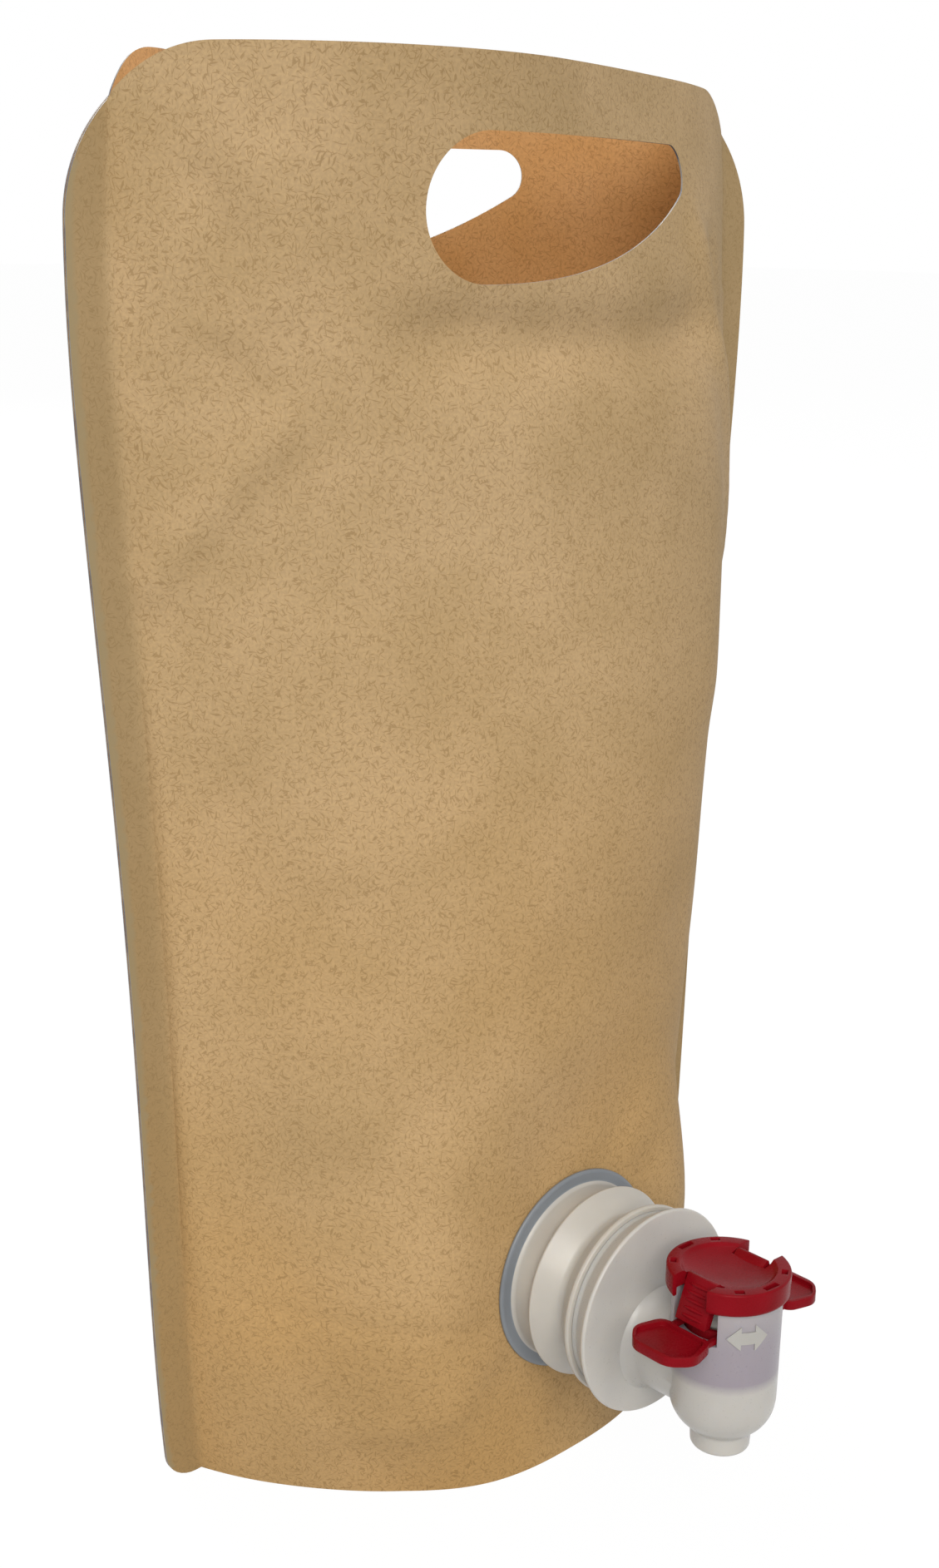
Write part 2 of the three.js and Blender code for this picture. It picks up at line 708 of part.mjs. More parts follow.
function roundedPolygon(corners, radius) {
  // corners are cut back and joined by short curves
  const shape = new THREE.Shape();
  const count = corners.length;
  corners.forEach((corner, i) => {
    const before = corners[(i + count - 1) % count];
    const after = corners[(i + 1) % count];
    const start = corner.clone().add(before.clone().sub(corner).setLength(radius));
    const end = corner.clone().add(after.clone().sub(corner).setLength(radius));
    if (i === 0) shape.moveTo(start.x, start.y);
    else shape.lineTo(start.x, start.y);
    shape.quadraticCurveTo(corner.x, corner.y, end.x, end.y);
  });
  return shape;
}

function wingPrism(inset, low, high, side) {
  const corners = [
    [WING_ROOT_X + inset, -WING_ROOT_HALF + inset],
    [WING_WIDE_X, -WING_WIDE_HALF + inset],
    [WING_TIP_X - inset, -WING_TIP_HALF],
    [WING_TIP_X - inset, WING_TIP_HALF],
    [WING_WIDE_X, WING_WIDE_HALF - inset],
    [WING_ROOT_X + inset, WING_ROOT_HALF - inset],
  ].map(([x, y]) => new THREE.Vector2(x, y));
  const shape = roundedPolygon(corners, Math.max(WING_CORNER - inset, WING_CORNER / 2));
  const prism = new THREE.ExtrudeGeometry(
    shape, { depth: high - low, bevelEnabled: false, curveSegments: 3 });
  prism.translate(0, 0, low);
  if (side < 0) prism.rotateZ(Math.PI);
  return solid(prism.translate(0, -BARREL_OFF, 0));
}

function wing(side) {
  const top = WING_Z + WING_T;
  const plate = wingPrism(0, WING_Z, top + WING_RIM_H, side);
  const dish = wingPrism(WING_RIM_W, top, top + WING_RIM_H + THROUGH, side);
  const plungerR = BARREL_BORE_R - SLIDE_GAP;
  const armHalf = SLOT_HALF - SLIDE_GAP;
  const armIn = Math.sqrt(plungerR ** 2 - armHalf ** 2) - PLUNGER_WALL;
  const ends = side < 0 ? [-WING_ROOT_X - WING_RIM_W, -armIn] : [armIn, WING_ROOT_X + WING_RIM_W];
  const arms = block(
    ends[0], ends[1], -BARREL_OFF - armHalf, -BARREL_OFF + armHalf, WING_Z, top);
  const gap = side < 0 ? [-WINDOW_OUT_X, 0] : [0, WINDOW_OUT_X];
  const window = block(
    gap[0], gap[1], -BARREL_OFF - WINDOW_HALF, -BARREL_OFF + WINDOW_HALF,
    WING_Z - THROUGH, top + WING_RIM_H + THROUGH);
  return plate.subtract(dish).add(arms).subtract(window);
}

function trigger() {
  const plungerR = BARREL_BORE_R - SLIDE_GAP;
  const cupR = plungerR - PLUNGER_WALL;
  const floorTop = PLUNGER_END + PLUNGER_FLOOR_T;
  const grooveR = RING_IN_R - GAP;
  const grooveLow = PLUNGER_END + (PLUNGER_FLOOR_T - RING_T) / 2 - GAP;
  const grooveHigh = grooveLow + RING_T + 2 * GAP;
  const plunger = turnedUp([
    [0, STEM_END],
    [STEM_R, STEM_END],
    [STEM_R, PLUNGER_END],
    [plungerR, PLUNGER_END],
    [plungerR, grooveLow],
    [grooveR, grooveLow],
    [grooveR, grooveHigh],
    [plungerR, grooveHigh],
    [plungerR, PLUNGER_TOP],
    [cupR, PLUNGER_TOP],
    [cupR, floorTop],
    [0, floorTop],
  ], ROUND_SMALL);
  return toGeometry(plunger.add(wing(-1)).add(wing(1)));
}

// Soft pieces inside the barrel

function valveSeal() {
  const low = SEAT_Z + GAP;
  return toGeometry(turnedUp([
    [0, low],
    [VALVE_R, low],
    [VALVE_R, low + VALVE_EDGE_T],
    [VALVE_COLLAR_R, low + VALVE_EDGE_T + 1],
    [VALVE_COLLAR_R, VALVE_COLLAR_TOP],
    [STEM_R + GAP, VALVE_COLLAR_TOP],
    [STEM_R + GAP, STEM_END - GAP],
    [0, STEM_END - GAP],
  ], ROUND_SMALL));
}

function plungerRing() {
  const low = PLUNGER_END + (PLUNGER_FLOOR_T - RING_T) / 2;
  const outR = BARREL_BORE_R - GAP;
  const bevel = RING_T / 4;
  return toGeometry(turnedUp([
    [RING_IN_R, low],
    [outR - bevel, low],
    [outR, low + bevel],
    [outR, low + RING_T - bevel],
    [outR - bevel, low + RING_T],
    [RING_IN_R, low + RING_T],
    [RING_IN_R, low],
  ], ROUND_SMALL));
}

function returnBellows() {
  const low = PLUNGER_END + PLUNGER_FLOOR_T + GAP;
  const high = BARREL_TOP;
  const waves = BELLOWS_FOLDS * 2;
  const outside = [];
  const inside = [];
  for (let i = 0; i <= waves; i += 1) {
    const z = low + (high - low) * (i / waves);
    const radius = i % 2 === 0 ? BELLOWS_R : BELLOWS_R - BELLOWS_FOLD;
    outside.push([radius, z]);
    inside.unshift([radius - BELLOWS_WALL, z]);
  }
  return toGeometry(turnedUp([...outside, ...inside, outside[0]], ROUND_SMALL));
}

// Assembly

const object = new THREE.Group();
const pouch = new THREE.Group();
const tap = new THREE.Group();
tap.position.copy(tapSeat);
tap.rotation.copy(tapTurn);

function piece(group, name, geometry, color, roughness) {
  const mesh = new THREE.Mesh(geometry, material(color, roughness));
  mesh.name = name;
  group.add(mesh);
}

piece(pouch, 'front_panel', frontPanel(), COLOURS.kraft, 0.85);
piece(pouch, 'back_panel', backPanel(), COLOURS.kraft, 0.85);
piece(pouch, 'bottom_gusset', bottomGusset(), COLOURS.kraft, 0.85);
piece(tap, 'spout_gland', spoutGland(), COLOURS.translucent, 0.4);
piece(tap, 'tap_body', tapBody(), COLOURS.translucent, 0.4);
piece(tap, 'tap_cap', tapCap(), COLOURS.red, 0.35);
piece(tap, 'trigger', trigger(), COLOURS.red, 0.35);
piece(tap, 'valve_seal', valveSeal(), COLOURS.elastomer, 0.6);
piece(tap, 'plunger_ring', plungerRing(), COLOURS.elastomer, 0.6);
piece(tap, 'return_bellows', returnBellows(), COLOURS.elastomer, 0.6);

object.add(pouch, tap);

// The origin goes under the middle of the whole
object.updateMatrixWorld(true);
const bounds = new THREE.Box3().setFromObject(object, true);
const centre = bounds.getCenter(new THREE.Vector3());
object.position.set(-centre.x, -centre.y, -bounds.min.z);

export default object;
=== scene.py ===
import math

import bmesh
import bpy
import numpy as np
from mathutils import Matrix, Vector
from mathutils.geometry import delaunay_2d_cdt


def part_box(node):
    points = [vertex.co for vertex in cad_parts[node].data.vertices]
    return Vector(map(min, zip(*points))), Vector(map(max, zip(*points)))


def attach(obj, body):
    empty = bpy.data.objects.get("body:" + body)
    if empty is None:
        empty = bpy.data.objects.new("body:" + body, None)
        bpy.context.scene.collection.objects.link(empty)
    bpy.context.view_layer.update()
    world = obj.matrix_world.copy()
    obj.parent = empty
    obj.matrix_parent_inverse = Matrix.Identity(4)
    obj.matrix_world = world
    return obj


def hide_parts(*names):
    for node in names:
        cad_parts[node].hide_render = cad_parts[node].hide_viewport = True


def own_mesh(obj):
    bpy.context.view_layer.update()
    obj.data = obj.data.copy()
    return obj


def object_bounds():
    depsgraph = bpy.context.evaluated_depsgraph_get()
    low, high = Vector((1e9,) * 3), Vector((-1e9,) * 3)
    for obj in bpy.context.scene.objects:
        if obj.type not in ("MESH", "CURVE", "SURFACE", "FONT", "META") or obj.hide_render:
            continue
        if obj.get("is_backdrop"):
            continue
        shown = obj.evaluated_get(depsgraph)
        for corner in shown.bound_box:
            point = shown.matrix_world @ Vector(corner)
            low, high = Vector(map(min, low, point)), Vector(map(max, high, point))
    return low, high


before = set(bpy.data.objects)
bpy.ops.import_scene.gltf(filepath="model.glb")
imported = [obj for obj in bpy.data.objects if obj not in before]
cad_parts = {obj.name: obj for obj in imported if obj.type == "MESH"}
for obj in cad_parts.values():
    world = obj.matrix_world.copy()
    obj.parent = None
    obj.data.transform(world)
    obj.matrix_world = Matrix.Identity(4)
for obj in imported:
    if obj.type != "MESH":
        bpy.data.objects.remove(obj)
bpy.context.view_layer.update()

MM = 0.001

# Pouch panels as flat sheets, in millimetres
POUCH_HEIGHT = 350.0
POUCH_WIDTH = 240.0
SIDE_SEAL = 10.0
TOP_CORNER_R = 34.0
BOTTOM_CORNER_R = 8.0
FILM = 0.4
SHEET_GAP = 0.15
SEAL_LINE = POUCH_WIDTH / 2 - SIDE_SEAL
LEFT_SEAL_ANGLES = (64, 62.5, 52, 46.5, 78)
RIGHT_SEAL_ANGLES = (58, 55, 62, 54.5, 32)
ROUNDNESS_BASE = 0.76
ROUNDNESS_TOP = 1.14
MESH_PITCH = 2.3               # spacing of the sheet's mesh points
RELIEF_LIMIT = 4.0             # how far a crease may stand off the smooth sheet
FOOT_LIFT = 0.08               # the sheets' foot above the floor
SECTION_ROWS = 176
SECTION_STEPS = 80

# Handle hole
HANDLE_LEFT_R = 15.8
HANDLE_LEFT_X = -26.5
HANDLE_RIGHT_R = 6.3
HANDLE_LOWER_R = 160.0
HANDLE_TOP_EDGE = POUCH_HEIGHT - 15.2

# Bottom gusset
GUSSET_DEPTH = 56.0
GUSSET_SEAL = 5.0
GUSSET_RISE = 7.0
GUSSET_END = 3.0
GUSSET_COLUMNS = 150
GUSSET_ROWS = 56
SKIRT_STEP = 2.5
VAULT_RIPPLE = 0.5
ROW_PITCH = 2.2                # between two rows of the base sheet, laid flat
SKIRT_TUCK = 0.3               # how far the base sheet lies inside the panels

# The tap's seat on the front panel
GLAND_SHIFT = -2.3
GLAND_HEIGHT = 53.5
TAP_TILT = 3.7
TAP_ROLL = 3.7
FLAT_PATCH_R = 36.0
FLAT_BLEND = 36.0
SHEET_UNDER_FLANGE = 1.85      # the flange, its clearance and half the sheet
GLAND_HOLE_R = 20.3

# The back panel's rear corner lies flatter, which shows over the front panel's edge
CORNER_ASIDE = (35, 85)
CORNER_HIGH = (POUCH_HEIGHT - 65, POUCH_HEIGHT - 5)
CORNER_FLAT = 0.95

# The pouch's own frame inside the whole object's frame
front_low, front_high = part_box("front_panel")
back_low, back_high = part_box("back_panel")
SEAM = Vector((
    (front_low[0] + front_high[0]) / 2,
    (front_high[1] + back_low[1]) / 2,
    FOOT_LIFT * MM,
)) / MM


def linear(hex_colour):
    """sRGB hex to the linear colour that a shader socket takes."""
    channels = [int(hex_colour[i:i + 2], 16) / 255 for i in (0, 2, 4)]
    bright = [c / 12.92 if c <= 0.04045 else ((c + 0.055) / 1.055) ** 2.4 for c in channels]
    return (*bright, 1.0)


def add(tree, kind, settings=None, inputs=None):
    """Adds a node with its settings; an input is a value, or the socket that feeds it."""
    made = tree.nodes.new(kind)
    for name, value in (settings or {}).items():
        setattr(made, name, value)
    for name, value in (inputs or {}).items():
        if isinstance(value, bpy.types.NodeSocket):
            tree.links.new(value, made.inputs[name])
        else:
            made.inputs[name].default_value = value
    return made


def new_material(name):
    """An empty material and its tree."""
    made = bpy.data.materials.new(name)
    made.use_nodes = True
    made.node_tree.nodes.clear()
    return made, made.node_tree


# Materials

SHEET_UNIT = 400.0             # millimetres of flat sheet to one unit of its UV map
FIBRE_LONG = 2.3               # kraft fibres are 1 to 3 mm long
FIBRE_SLIM = 5.0               # and are drawn a fifth as wide, as 0.03 mm would not show
FIBRE_BEND = 4.5               # from one bend of a fibre to the next
FIBRE_SWAY = 1.8
FIBRE_TURNS = (0.1, 0.75, 1.35, 1.95, 2.6)
PAPER_TOOTH = 0.75             # drawn coarser than the real 0.2 mm, which would not show
PAPER_CLOUD = 40.0
PAPER_PATCH = 90.0
BARRIER_BLOTCH = 7.0
MOULD_SKIN = 0.6               # drawn coarser than the real 0.1 mm, which would not show

TIMES = {"operation": "MULTIPLY"}
PLUS = {"operation": "ADD"}
COLOUR = {"data_type": "RGBA"}


def sheet_pattern(tree, wave_mm, detail=2.0, stretch=(1, 1, 1), turn=0.0, warp=0.0, shift=0.0):
    """Noise on the flat sheet whose grains are about wave_mm across."""
    uv = add(tree, "ShaderNodeUVMap", {"uv_map": "flat"}).outputs[0]
    if warp:
        bend = add(tree, "ShaderNodeTexNoise", {"noise_dimensions": "2D"}, {
            "Vector": uv, "Scale": SHEET_UNIT / FIBRE_BEND, "Detail": 0.0})
        offset = add(tree, "ShaderNodeVectorMath", {"operation": "MULTIPLY_ADD"}, {
            0: bend.outputs["Color"], 1: (warp, warp, 0), 2: uv})
        uv = offset.outputs[0]
    turned_uv = add(tree, "ShaderNodeMapping", inputs={
        "Vector": uv, "Rotation": (0, 0, turn)}).outputs[0]
    placed = add(tree, "ShaderNodeMapping", inputs={
        "Vector": turned_uv, "Location": (shift, shift, 0), "Scale": stretch})
    noise = add(tree, "ShaderNodeTexNoise", {"noise_dimensions": "2D"}, {
        "Vector": placed.outputs[0], "Scale": SHEET_UNIT / wave_mm, "Detail": detail,
        "Roughness": 0.55})
    return noise.outputs[0]


def fibre_flecks(tree):
    """Short bent fibres, lying in every direction and far apart."""
    flecks = 0.0
    for step, turn in enumerate(FIBRE_TURNS):
        strokes = sheet_pattern(tree, FIBRE_LONG, 0.0, (1, FIBRE_SLIM, 1), turn,
                                FIBRE_SWAY / SHEET_UNIT, 3.7 * step)
        lit = add(tree, "ShaderNodeMapRange", inputs={
            "Value": strokes, "From Min": 0.755, "From Max": 0.80})
        flecks = add(tree, "ShaderNodeMath", {"operation": "MAXIMUM"}, {
            0: flecks, 1: lit.outputs[0]}).outputs[0]
    return flecks


def kraft_face(name, base, bright, warm, fibre, seal_shade, roughness, gloss):
    """Unbleached kraft paper on film: brown, clouded, with darker fibres lying in it."""
    made, tree = new_material(name)
    uv = add(tree, "ShaderNodeUVMap", {"uv_map": "flat"}).outputs[0]
    up = add(tree, "ShaderNodeSeparateXYZ", inputs={"Vector": uv}).outputs[1]
    strip = add(tree, "ShaderNodeAttribute", {"attribute_name": "strip"}).outputs["Fac"]
    seal = add(tree, "ShaderNodeAttribute", {"attribute_name": "seal"}).outputs["Fac"]
    tooth = sheet_pattern(tree, PAPER_TOOTH)

    # Clouds of the pulp, and a warmer tone that grows in patches towards the foot
    cloud = add(tree, "ShaderNodeMapRange", inputs={
        "Value": sheet_pattern(tree, PAPER_CLOUD, 3.0), "From Min": 0.36, "From Max": 0.66})
    foot = add(tree, "ShaderNodeMapRange", inputs={
        "Value": up, "From Min": 0.04, "From Max": 0.62, "To Min": 0.9, "To Max": 0.0})
    patch = add(tree, "ShaderNodeMapRange", inputs={
        "Value": sheet_pattern(tree, PAPER_PATCH, 1.0, shift=2.0),
        "From Min": 0.3, "From Max": 0.66, "To Min": 0.35, "To Max": 1.0})
    warmth = add(tree, "ShaderNodeMath", TIMES, {0: patch.outputs[0], 1: foot.outputs[0]})
    speck = add(tree, "ShaderNodeMapRange", inputs={
        "Value": tooth, "From Min": 0.34, "From Max": 0.68, "To Min": 0.92, "To Max": 1.06})
    shade = add(tree, "ShaderNodeCombineColor", inputs={
        part: speck.outputs[0] for part in ("Red", "Green", "Blue")})

    # Fibres stop at the greyer strip beside a side edge; over the side seals a darker colour is
    # mixed in as painted shade
    bare = add(tree, "ShaderNodeMapRange", inputs={
        "Value": strip, "From Min": 0.3, "From Max": 0.7, "To Min": 1.0, "To Max": 0.0})
    flecks = add(tree, "ShaderNodeMath", TIMES, {0: fibre_flecks(tree), 1: bare.outputs[0]})
    fleck_share = add(tree, "ShaderNodeMath", TIMES, {0: flecks.outputs[0], 1: 0.42})
    strip_share = add(tree, "ShaderNodeMapRange", inputs={
        "Value": strip, "From Min": 0.3, "From Max": 0.7, "To Max": 0.8})
    # Painted shade: the band over the side seals is darkened, where the sheet turns from the light
    seal_shade_share = add(tree, "ShaderNodeMath", TIMES, {0: seal, 1: 0.55})

    colour = linear(base)
    for blend, share, over in (
            ("MIX", cloud.outputs[0], linear(bright)),
            ("MIX", warmth.outputs[0], linear(warm)),
            ("MULTIPLY", 1.0, shade.outputs[0]),
            ("MIX", fleck_share.outputs[0], linear(fibre)),
            ("MIX", strip_share.outputs[0], linear("a79c7e")),
            ("MIX", seal_shade_share.outputs[0], linear(seal_shade))):
        colour = add(tree, "ShaderNodeMix", {**COLOUR, "blend_type": blend}, {
            0: share, 6: colour, 7: over}).outputs[2]

    raised = add(tree, "ShaderNodeMath", TIMES, {0: flecks.outputs[0], 1: 0.5})
    height = add(tree, "ShaderNodeMath", PLUS, {0: tooth, 1: raised.outputs[0]})
    bump = add(tree, "ShaderNodeBump", inputs={
        "Strength": 0.3, "Distance": 0.06 * MM, "Height": height.outputs[0]})
    rough = add(tree, "ShaderNodeMapRange", inputs={
        "Value": tooth, "From Min": 0.3, "From Max": 0.7,
        "To Min": roughness - 0.06, "To Max": roughness + 0.06})
    surface = add(tree, "ShaderNodeBsdfPrincipled", inputs={
        "Base Color": colour, "Roughness": rough.outputs[0], "Normal": bump.outputs[0],
        "Specular IOR Level": gloss})
    add(tree, "ShaderNodeOutputMaterial", inputs={"Surface": surface.outputs[0]})
    return made


# Bare paper, machine finished: matt, and paler where fibre is thin
# The fifth colour is painted shade over the side seals
kraft_outer = kraft_face(
    "kraft_paper_machine_finished", "b0956c", "bb9f77", "bb955e", "7d6034", "8f7a55", 0.72, 0.28)
# The same paper seen through the film laminated over it: wetter, more orange, with a low sheen
# Its fifth colour is painted shade over the side seals as well, darker still
kraft_inner = kraft_face(
    "kraft_paper_under_film", "c8985f", "d0a26d", "be8650", "8f683a", "866c4c", 0.42, 0.45)


def cut_edge():
    """Laminate cut by a steel rule: pale film, smeared here and there by the barrier layer."""
    made, tree = new_material("laminate_die_cut")
    layers = add(tree, "ShaderNodeMapRange", inputs={
        "Value": sheet_pattern(tree, BARRIER_BLOTCH), "From Min": 0.4, "From Max": 0.6})
    colour = add(tree, "ShaderNodeMix", COLOUR, {
        0: layers.outputs[0], 6: linear("8d8a84"), 7: linear("5d626c")})
    surface = add(tree, "ShaderNodeBsdfPrincipled", inputs={
        "Base Color": colour.outputs[2], "Roughness": 0.45})
    add(tree, "ShaderNodeOutputMaterial", inputs={"Surface": surface.outputs[0]})
    return made


laminate_edge = cut_edge()


def moulded(name, base, deep, roughness, cloud_mm, glow=0.0, gloss=0.5, tint=None):
    """Injection-moulded plastic: faint flow clouds under a fine spark-eroded skin."""
    made, tree = new_material(name)
    where = add(tree, "ShaderNodeTexCoord").outputs["Object"]
    cloud = add(tree, "ShaderNodeTexNoise", inputs={
        "Vector": where, "Scale": 1 / (cloud_mm * MM), "Detail": 3.0})
    skin = add(tree, "ShaderNodeTexNoise", inputs={
        "Vector": where, "Scale": 1 / (MOULD_SKIN * MM), "Detail": 2.0}).outputs[0]
    flow = add(tree, "ShaderNodeMapRange", inputs={
        "Value": cloud.outputs[0], "From Min": 0.35, "From Max": 0.68})
    colour = add(tree, "ShaderNodeMix", COLOUR, {
        0: flow.outputs[0], 6: linear(base), 7: linear(deep)}).outputs[2]
    if tint:
        colour = tint(tree, colour)
    bump = add(tree, "ShaderNodeBump", inputs={
        "Strength": 0.12, "Distance": 0.04 * MM, "Height": skin})
    rough = add(tree, "ShaderNodeMapRange", inputs={
        "Value": skin, "From Min": 0.3, "From Max": 0.7,
        "To Min": roughness - 0.05, "To Max": roughness + 0.05})
    shader = {
        "Base Color": colour, "Roughness": rough.outputs[0], "Normal": bump.outputs[0],
        "IOR": 1.5, "Specular IOR Level": gloss}
    if glow:
        shader.update({
            "Subsurface Weight": glow, "Subsurface Radius": (0.004, 0.003, 0.002),
            "Subsurface Scale": 1.0})
    surface = add(tree, "ShaderNodeBsdfPrincipled", inputs=shader)
    add(tree, "ShaderNodeOutputMaterial", inputs={"Surface": surface.outputs[0]})
    return made


# Uncoloured polyethylene: milky and waxy, so that light bleeds a few millimetres into it
frosted = moulded("polyethylene_moulded", "bdb9b1", "b6b2ab", 0.36, 14.0, 0.35)
# The same on the thin weld flange, painted grey as shade where the flange lies over the dark inside
# of the pouch, with a duller shine
shaded_weld_flange = moulded("polyethylene_flange_painted_shade", "7c8289", "72787f", 0.42, 16.0, 0.1)
# Polypropylene coloured through with a deep red: no light comes through, and the sheen is low
red_gloss = moulded("polypropylene_moulded", "860d19", "7b0a14", 0.28, 9.0, gloss=0.07)
# Thermoplastic rubber: off white, soft to the eye, with hardly a highlight
soft_white = moulded("thermoplastic_rubber_moulded", "ddd9d2", "d3cfc8", 0.55, 8.0, 0.2)


# The sheet's shape

def through_knots(values, share):
    """A smooth curve through values that are evenly spaced from 0 to 1."""
    last = len(values) - 1
    total = np.zeros_like(share)
    for i, value in enumerate(values):
        weight = np.ones_like(share)
        for j in range(last + 1):
            if j != i:
                weight = weight * (share * last - j) / (i - j)
        total = total + value * weight
    return total


def section_table():
    """Across and deep for each height, side and step out to the seal line."""
    heights = np.linspace(0, POUCH_HEIGHT, SECTION_ROWS)
    share = heights / POUCH_HEIGHT
    t = np.linspace(0, 1, SECTION_STEPS + 1)
    roundness = (ROUNDNESS_BASE + (ROUNDNESS_TOP - ROUNDNESS_BASE) * share)[:, None]
    left_angle = through_knots(LEFT_SEAL_ANGLES, share)[:, None]
    right_angle = through_knots(RIGHT_SEAL_ANGLES, share)[:, None]
    lean = np.zeros((len(heights), 1))

    def half(seal_angle, middle_angle):
        turn = np.radians(middle_angle + (seal_angle - middle_angle) * t[None, :] ** roundness)
        step = SEAL_LINE / SECTION_STEPS
        across = np.zeros_like(turn)
        deep = np.zeros_like(turn)
        across[:, 1:] = np.cumsum((np.cos(turn[:, :-1]) + np.cos(turn[:, 1:])) / 2, 1) * step
        deep[:, 1:] = np.cumsum((np.sin(turn[:, :-1]) + np.sin(turn[:, 1:])) / 2, 1) * step
        return across, deep

    # The middle leans until both halves meet their seals at the same depth
    for _ in range(8):
        right = half(right_angle, lean)
        left = half(left_angle, -lean)
        uneven = right[1][:, -1:] - left[1][:, -1:]
        lean = lean - np.degrees(uneven / (SEAL_LINE * 1.2))
    depth = (right[1][:, -1:] + left[1][:, -1:]) / 2
    middle = (right[0][:, -1:] - left[0][:, -1:]) / 2
    return heights, left, right, depth, middle


HEIGHTS, LEFT, RIGHT, DEPTH, MIDDLE = section_table()


def lookup(table, row, column):
    """A table's value between its entries."""
    r = np.clip(np.floor(row).astype(int), 0, table.shape[0] - 2)
    c = np.clip(np.floor(column).astype(int), 0, table.shape[1] - 2)
    fr, fc = row - r, column - c
    top = table[r, c] * (1 - fc) + table[r, c + 1] * fc
    low = table[r + 1, c] * (1 - fc) + table[r + 1, c + 1] * fc
    return top * (1 - fr) + low * fr


def free_sheet(s, z):
    """Where a place on the flat sheet stands, before the tap or a crease pulls at it."""
    row = np.clip(z / POUCH_HEIGHT, 0, 1) * (len(HEIGHTS) - 1)
    column = np.minimum(np.abs(s) / SEAL_LINE, 1) * (LEFT[0].shape[1] - 1)
    seal = np.maximum(np.abs(s) - SEAL_LINE, 0)
    right = s >= 0
    across = np.where(right, lookup(RIGHT[0], row, column), lookup(LEFT[0], row, column)) + seal
    deep = np.where(right, lookup(RIGHT[1], row, column), lookup(LEFT[1], row, column))
    middle, depth = (lookup(np.repeat(table, 2, 1), row, np.zeros_like(row))
                     for table in (MIDDLE, DEPTH))
    return np.stack([np.sign(s) * across - middle, deep - depth, z + 0 * s], -1)


tap_turn = Matrix.Rotation(math.radians(-TAP_TILT), 4, "X") @ Matrix.Rotation(
    math.radians(TAP_ROLL), 4, "Y")
tap_out = np.array(tap_turn @ Vector((0, -1, 0)))
tap_seat = free_sheet(np.array([GLAND_SHIFT]), np.array([GLAND_HEIGHT]))[0]
sheet_seat = tap_seat - tap_out * SHEET_UNDER_FLANGE


def smoothstep(value, low, high):
    """Eases from 0 at low to 1 at high."""
    share = np.clip((value - low) / (high - low), 0, 1)
    return share * share * (3 - 2 * share)


def front_sheet(s, z):
    """The front panel's middle surface, drawn flat round the gland."""
    point = free_sheet(s, z)
    away = np.hypot(point[..., 0] - sheet_seat[0], point[..., 2] - sheet_seat[2])
    free = smoothstep(away, FLAT_PATCH_R, FLAT_PATCH_R + FLAT_BLEND)
    slope = tap_out[0] * (point[..., 0] - sheet_seat[0]) + tap_out[2] * (
        point[..., 2] - sheet_seat[2])
    flat = sheet_seat[1] - slope / tap_out[1]
    point[..., 1] = flat + (point[..., 1] - flat) * free
    return point


def back_sheet(s, z):
    """The back panel mirrors the front one, with its rear corner flattened."""
    point = free_sheet(s, z)
    corner = smoothstep(-s, *CORNER_ASIDE) * smoothstep(z, *CORNER_HIGH)
    point[..., 1] *= CORNER_FLAT * corner - 1
    return point


def near_path(s, z, path):
    """Distance to a path, and how far along it the nearest place is, from 0 to 1."""
    best = np.full(np.shape(s), 1e9)
    along = np.zeros(np.shape(s))
    parts = len(path) - 1
    for i, ((x0, z0), (x1, z1)) in enumerate(zip(path, path[1:])):
        dx, dz = x1 - x0, z1 - z0
        t = np.clip(((s - x0) * dx + (z - z0) * dz) / (dx * dx + dz * dz), 0, 1)
        away = np.hypot(s - x0 - t * dx, z - z0 - t * dz)
        along = np.where(away < best, (i + t) / parts, along)
        best = np.minimum(best, away)
    return best, along


# Creases, chosen one by one: path on the flat sheet, half width and height
FRONT_CREASES = (
    # Fold below the carrying hole, where the top hangs from a hand
    (((-58, 293), (-12, 290.6), (20, 290.4), (76, 291)), 8.0, -4.0),
    (((-44, 291), (-12, 289), (20, 288.6), (56, 288)), 2.4, -0.5),
    (((-60, 270), (-12, 266), (20, 266), (72, 270)), 14.0, 1.2),
    # Left shoulder and the ridge along the left seal
    (((-112, 232), (-100, 246), (-86, 262), (-66, 282)), 5.0, 1.8),
    (((-114, 262), (-100, 276), (-84, 296)), 13.0, -1.9),
    (((-108, 238), (-106, 180), (-106, 100), (-103, 40)), 5.0, 1.9),
    (((-92, 212), (-88, 160), (-90, 90), (-86, 44)), 14.0, -1.1),
    # Pulled towards the gland
    (((-106, 57), (-79, 53.6), (-50, 52.2), (-34, 49)), 1.6, -0.5),
    (((-34, 88), (-60, 104), (-84, 112)), 9.0, 1.1),
    (((-36, 30), (-56, 22), (-84, 18)), 6.0, 0.8),
    # The right side, where it turns away
    (((54, 326), (68, 292), (86, 256), (97, 206)), 7.0, 2.6),
    (((70, 318), (86, 286), (102, 246)), 8.0, -2.4),
    (((94, 264), (102, 246), (109, 230)), 3.0, -1.4),
    (((56, 296), (62, 240), (58, 180)), 16.0, 1.5),
    (((110, 304), (104, 286), (96, 276)), 3.5, 1.2),
    # Loose dents in the middle and at the upper left
    (((-60, 236), (-70, 200), (-66, 160)), 18.0, 1.3),
    (((-92, 330), (-86, 312), (-92, 294)), 5.0, -1.3),
    (((-78, 334), (-72, 312), (-76, 292)), 6.0, 1.0),
    (((-20, 150), (20, 132), (60, 138)), 20.0, -1.2),
)
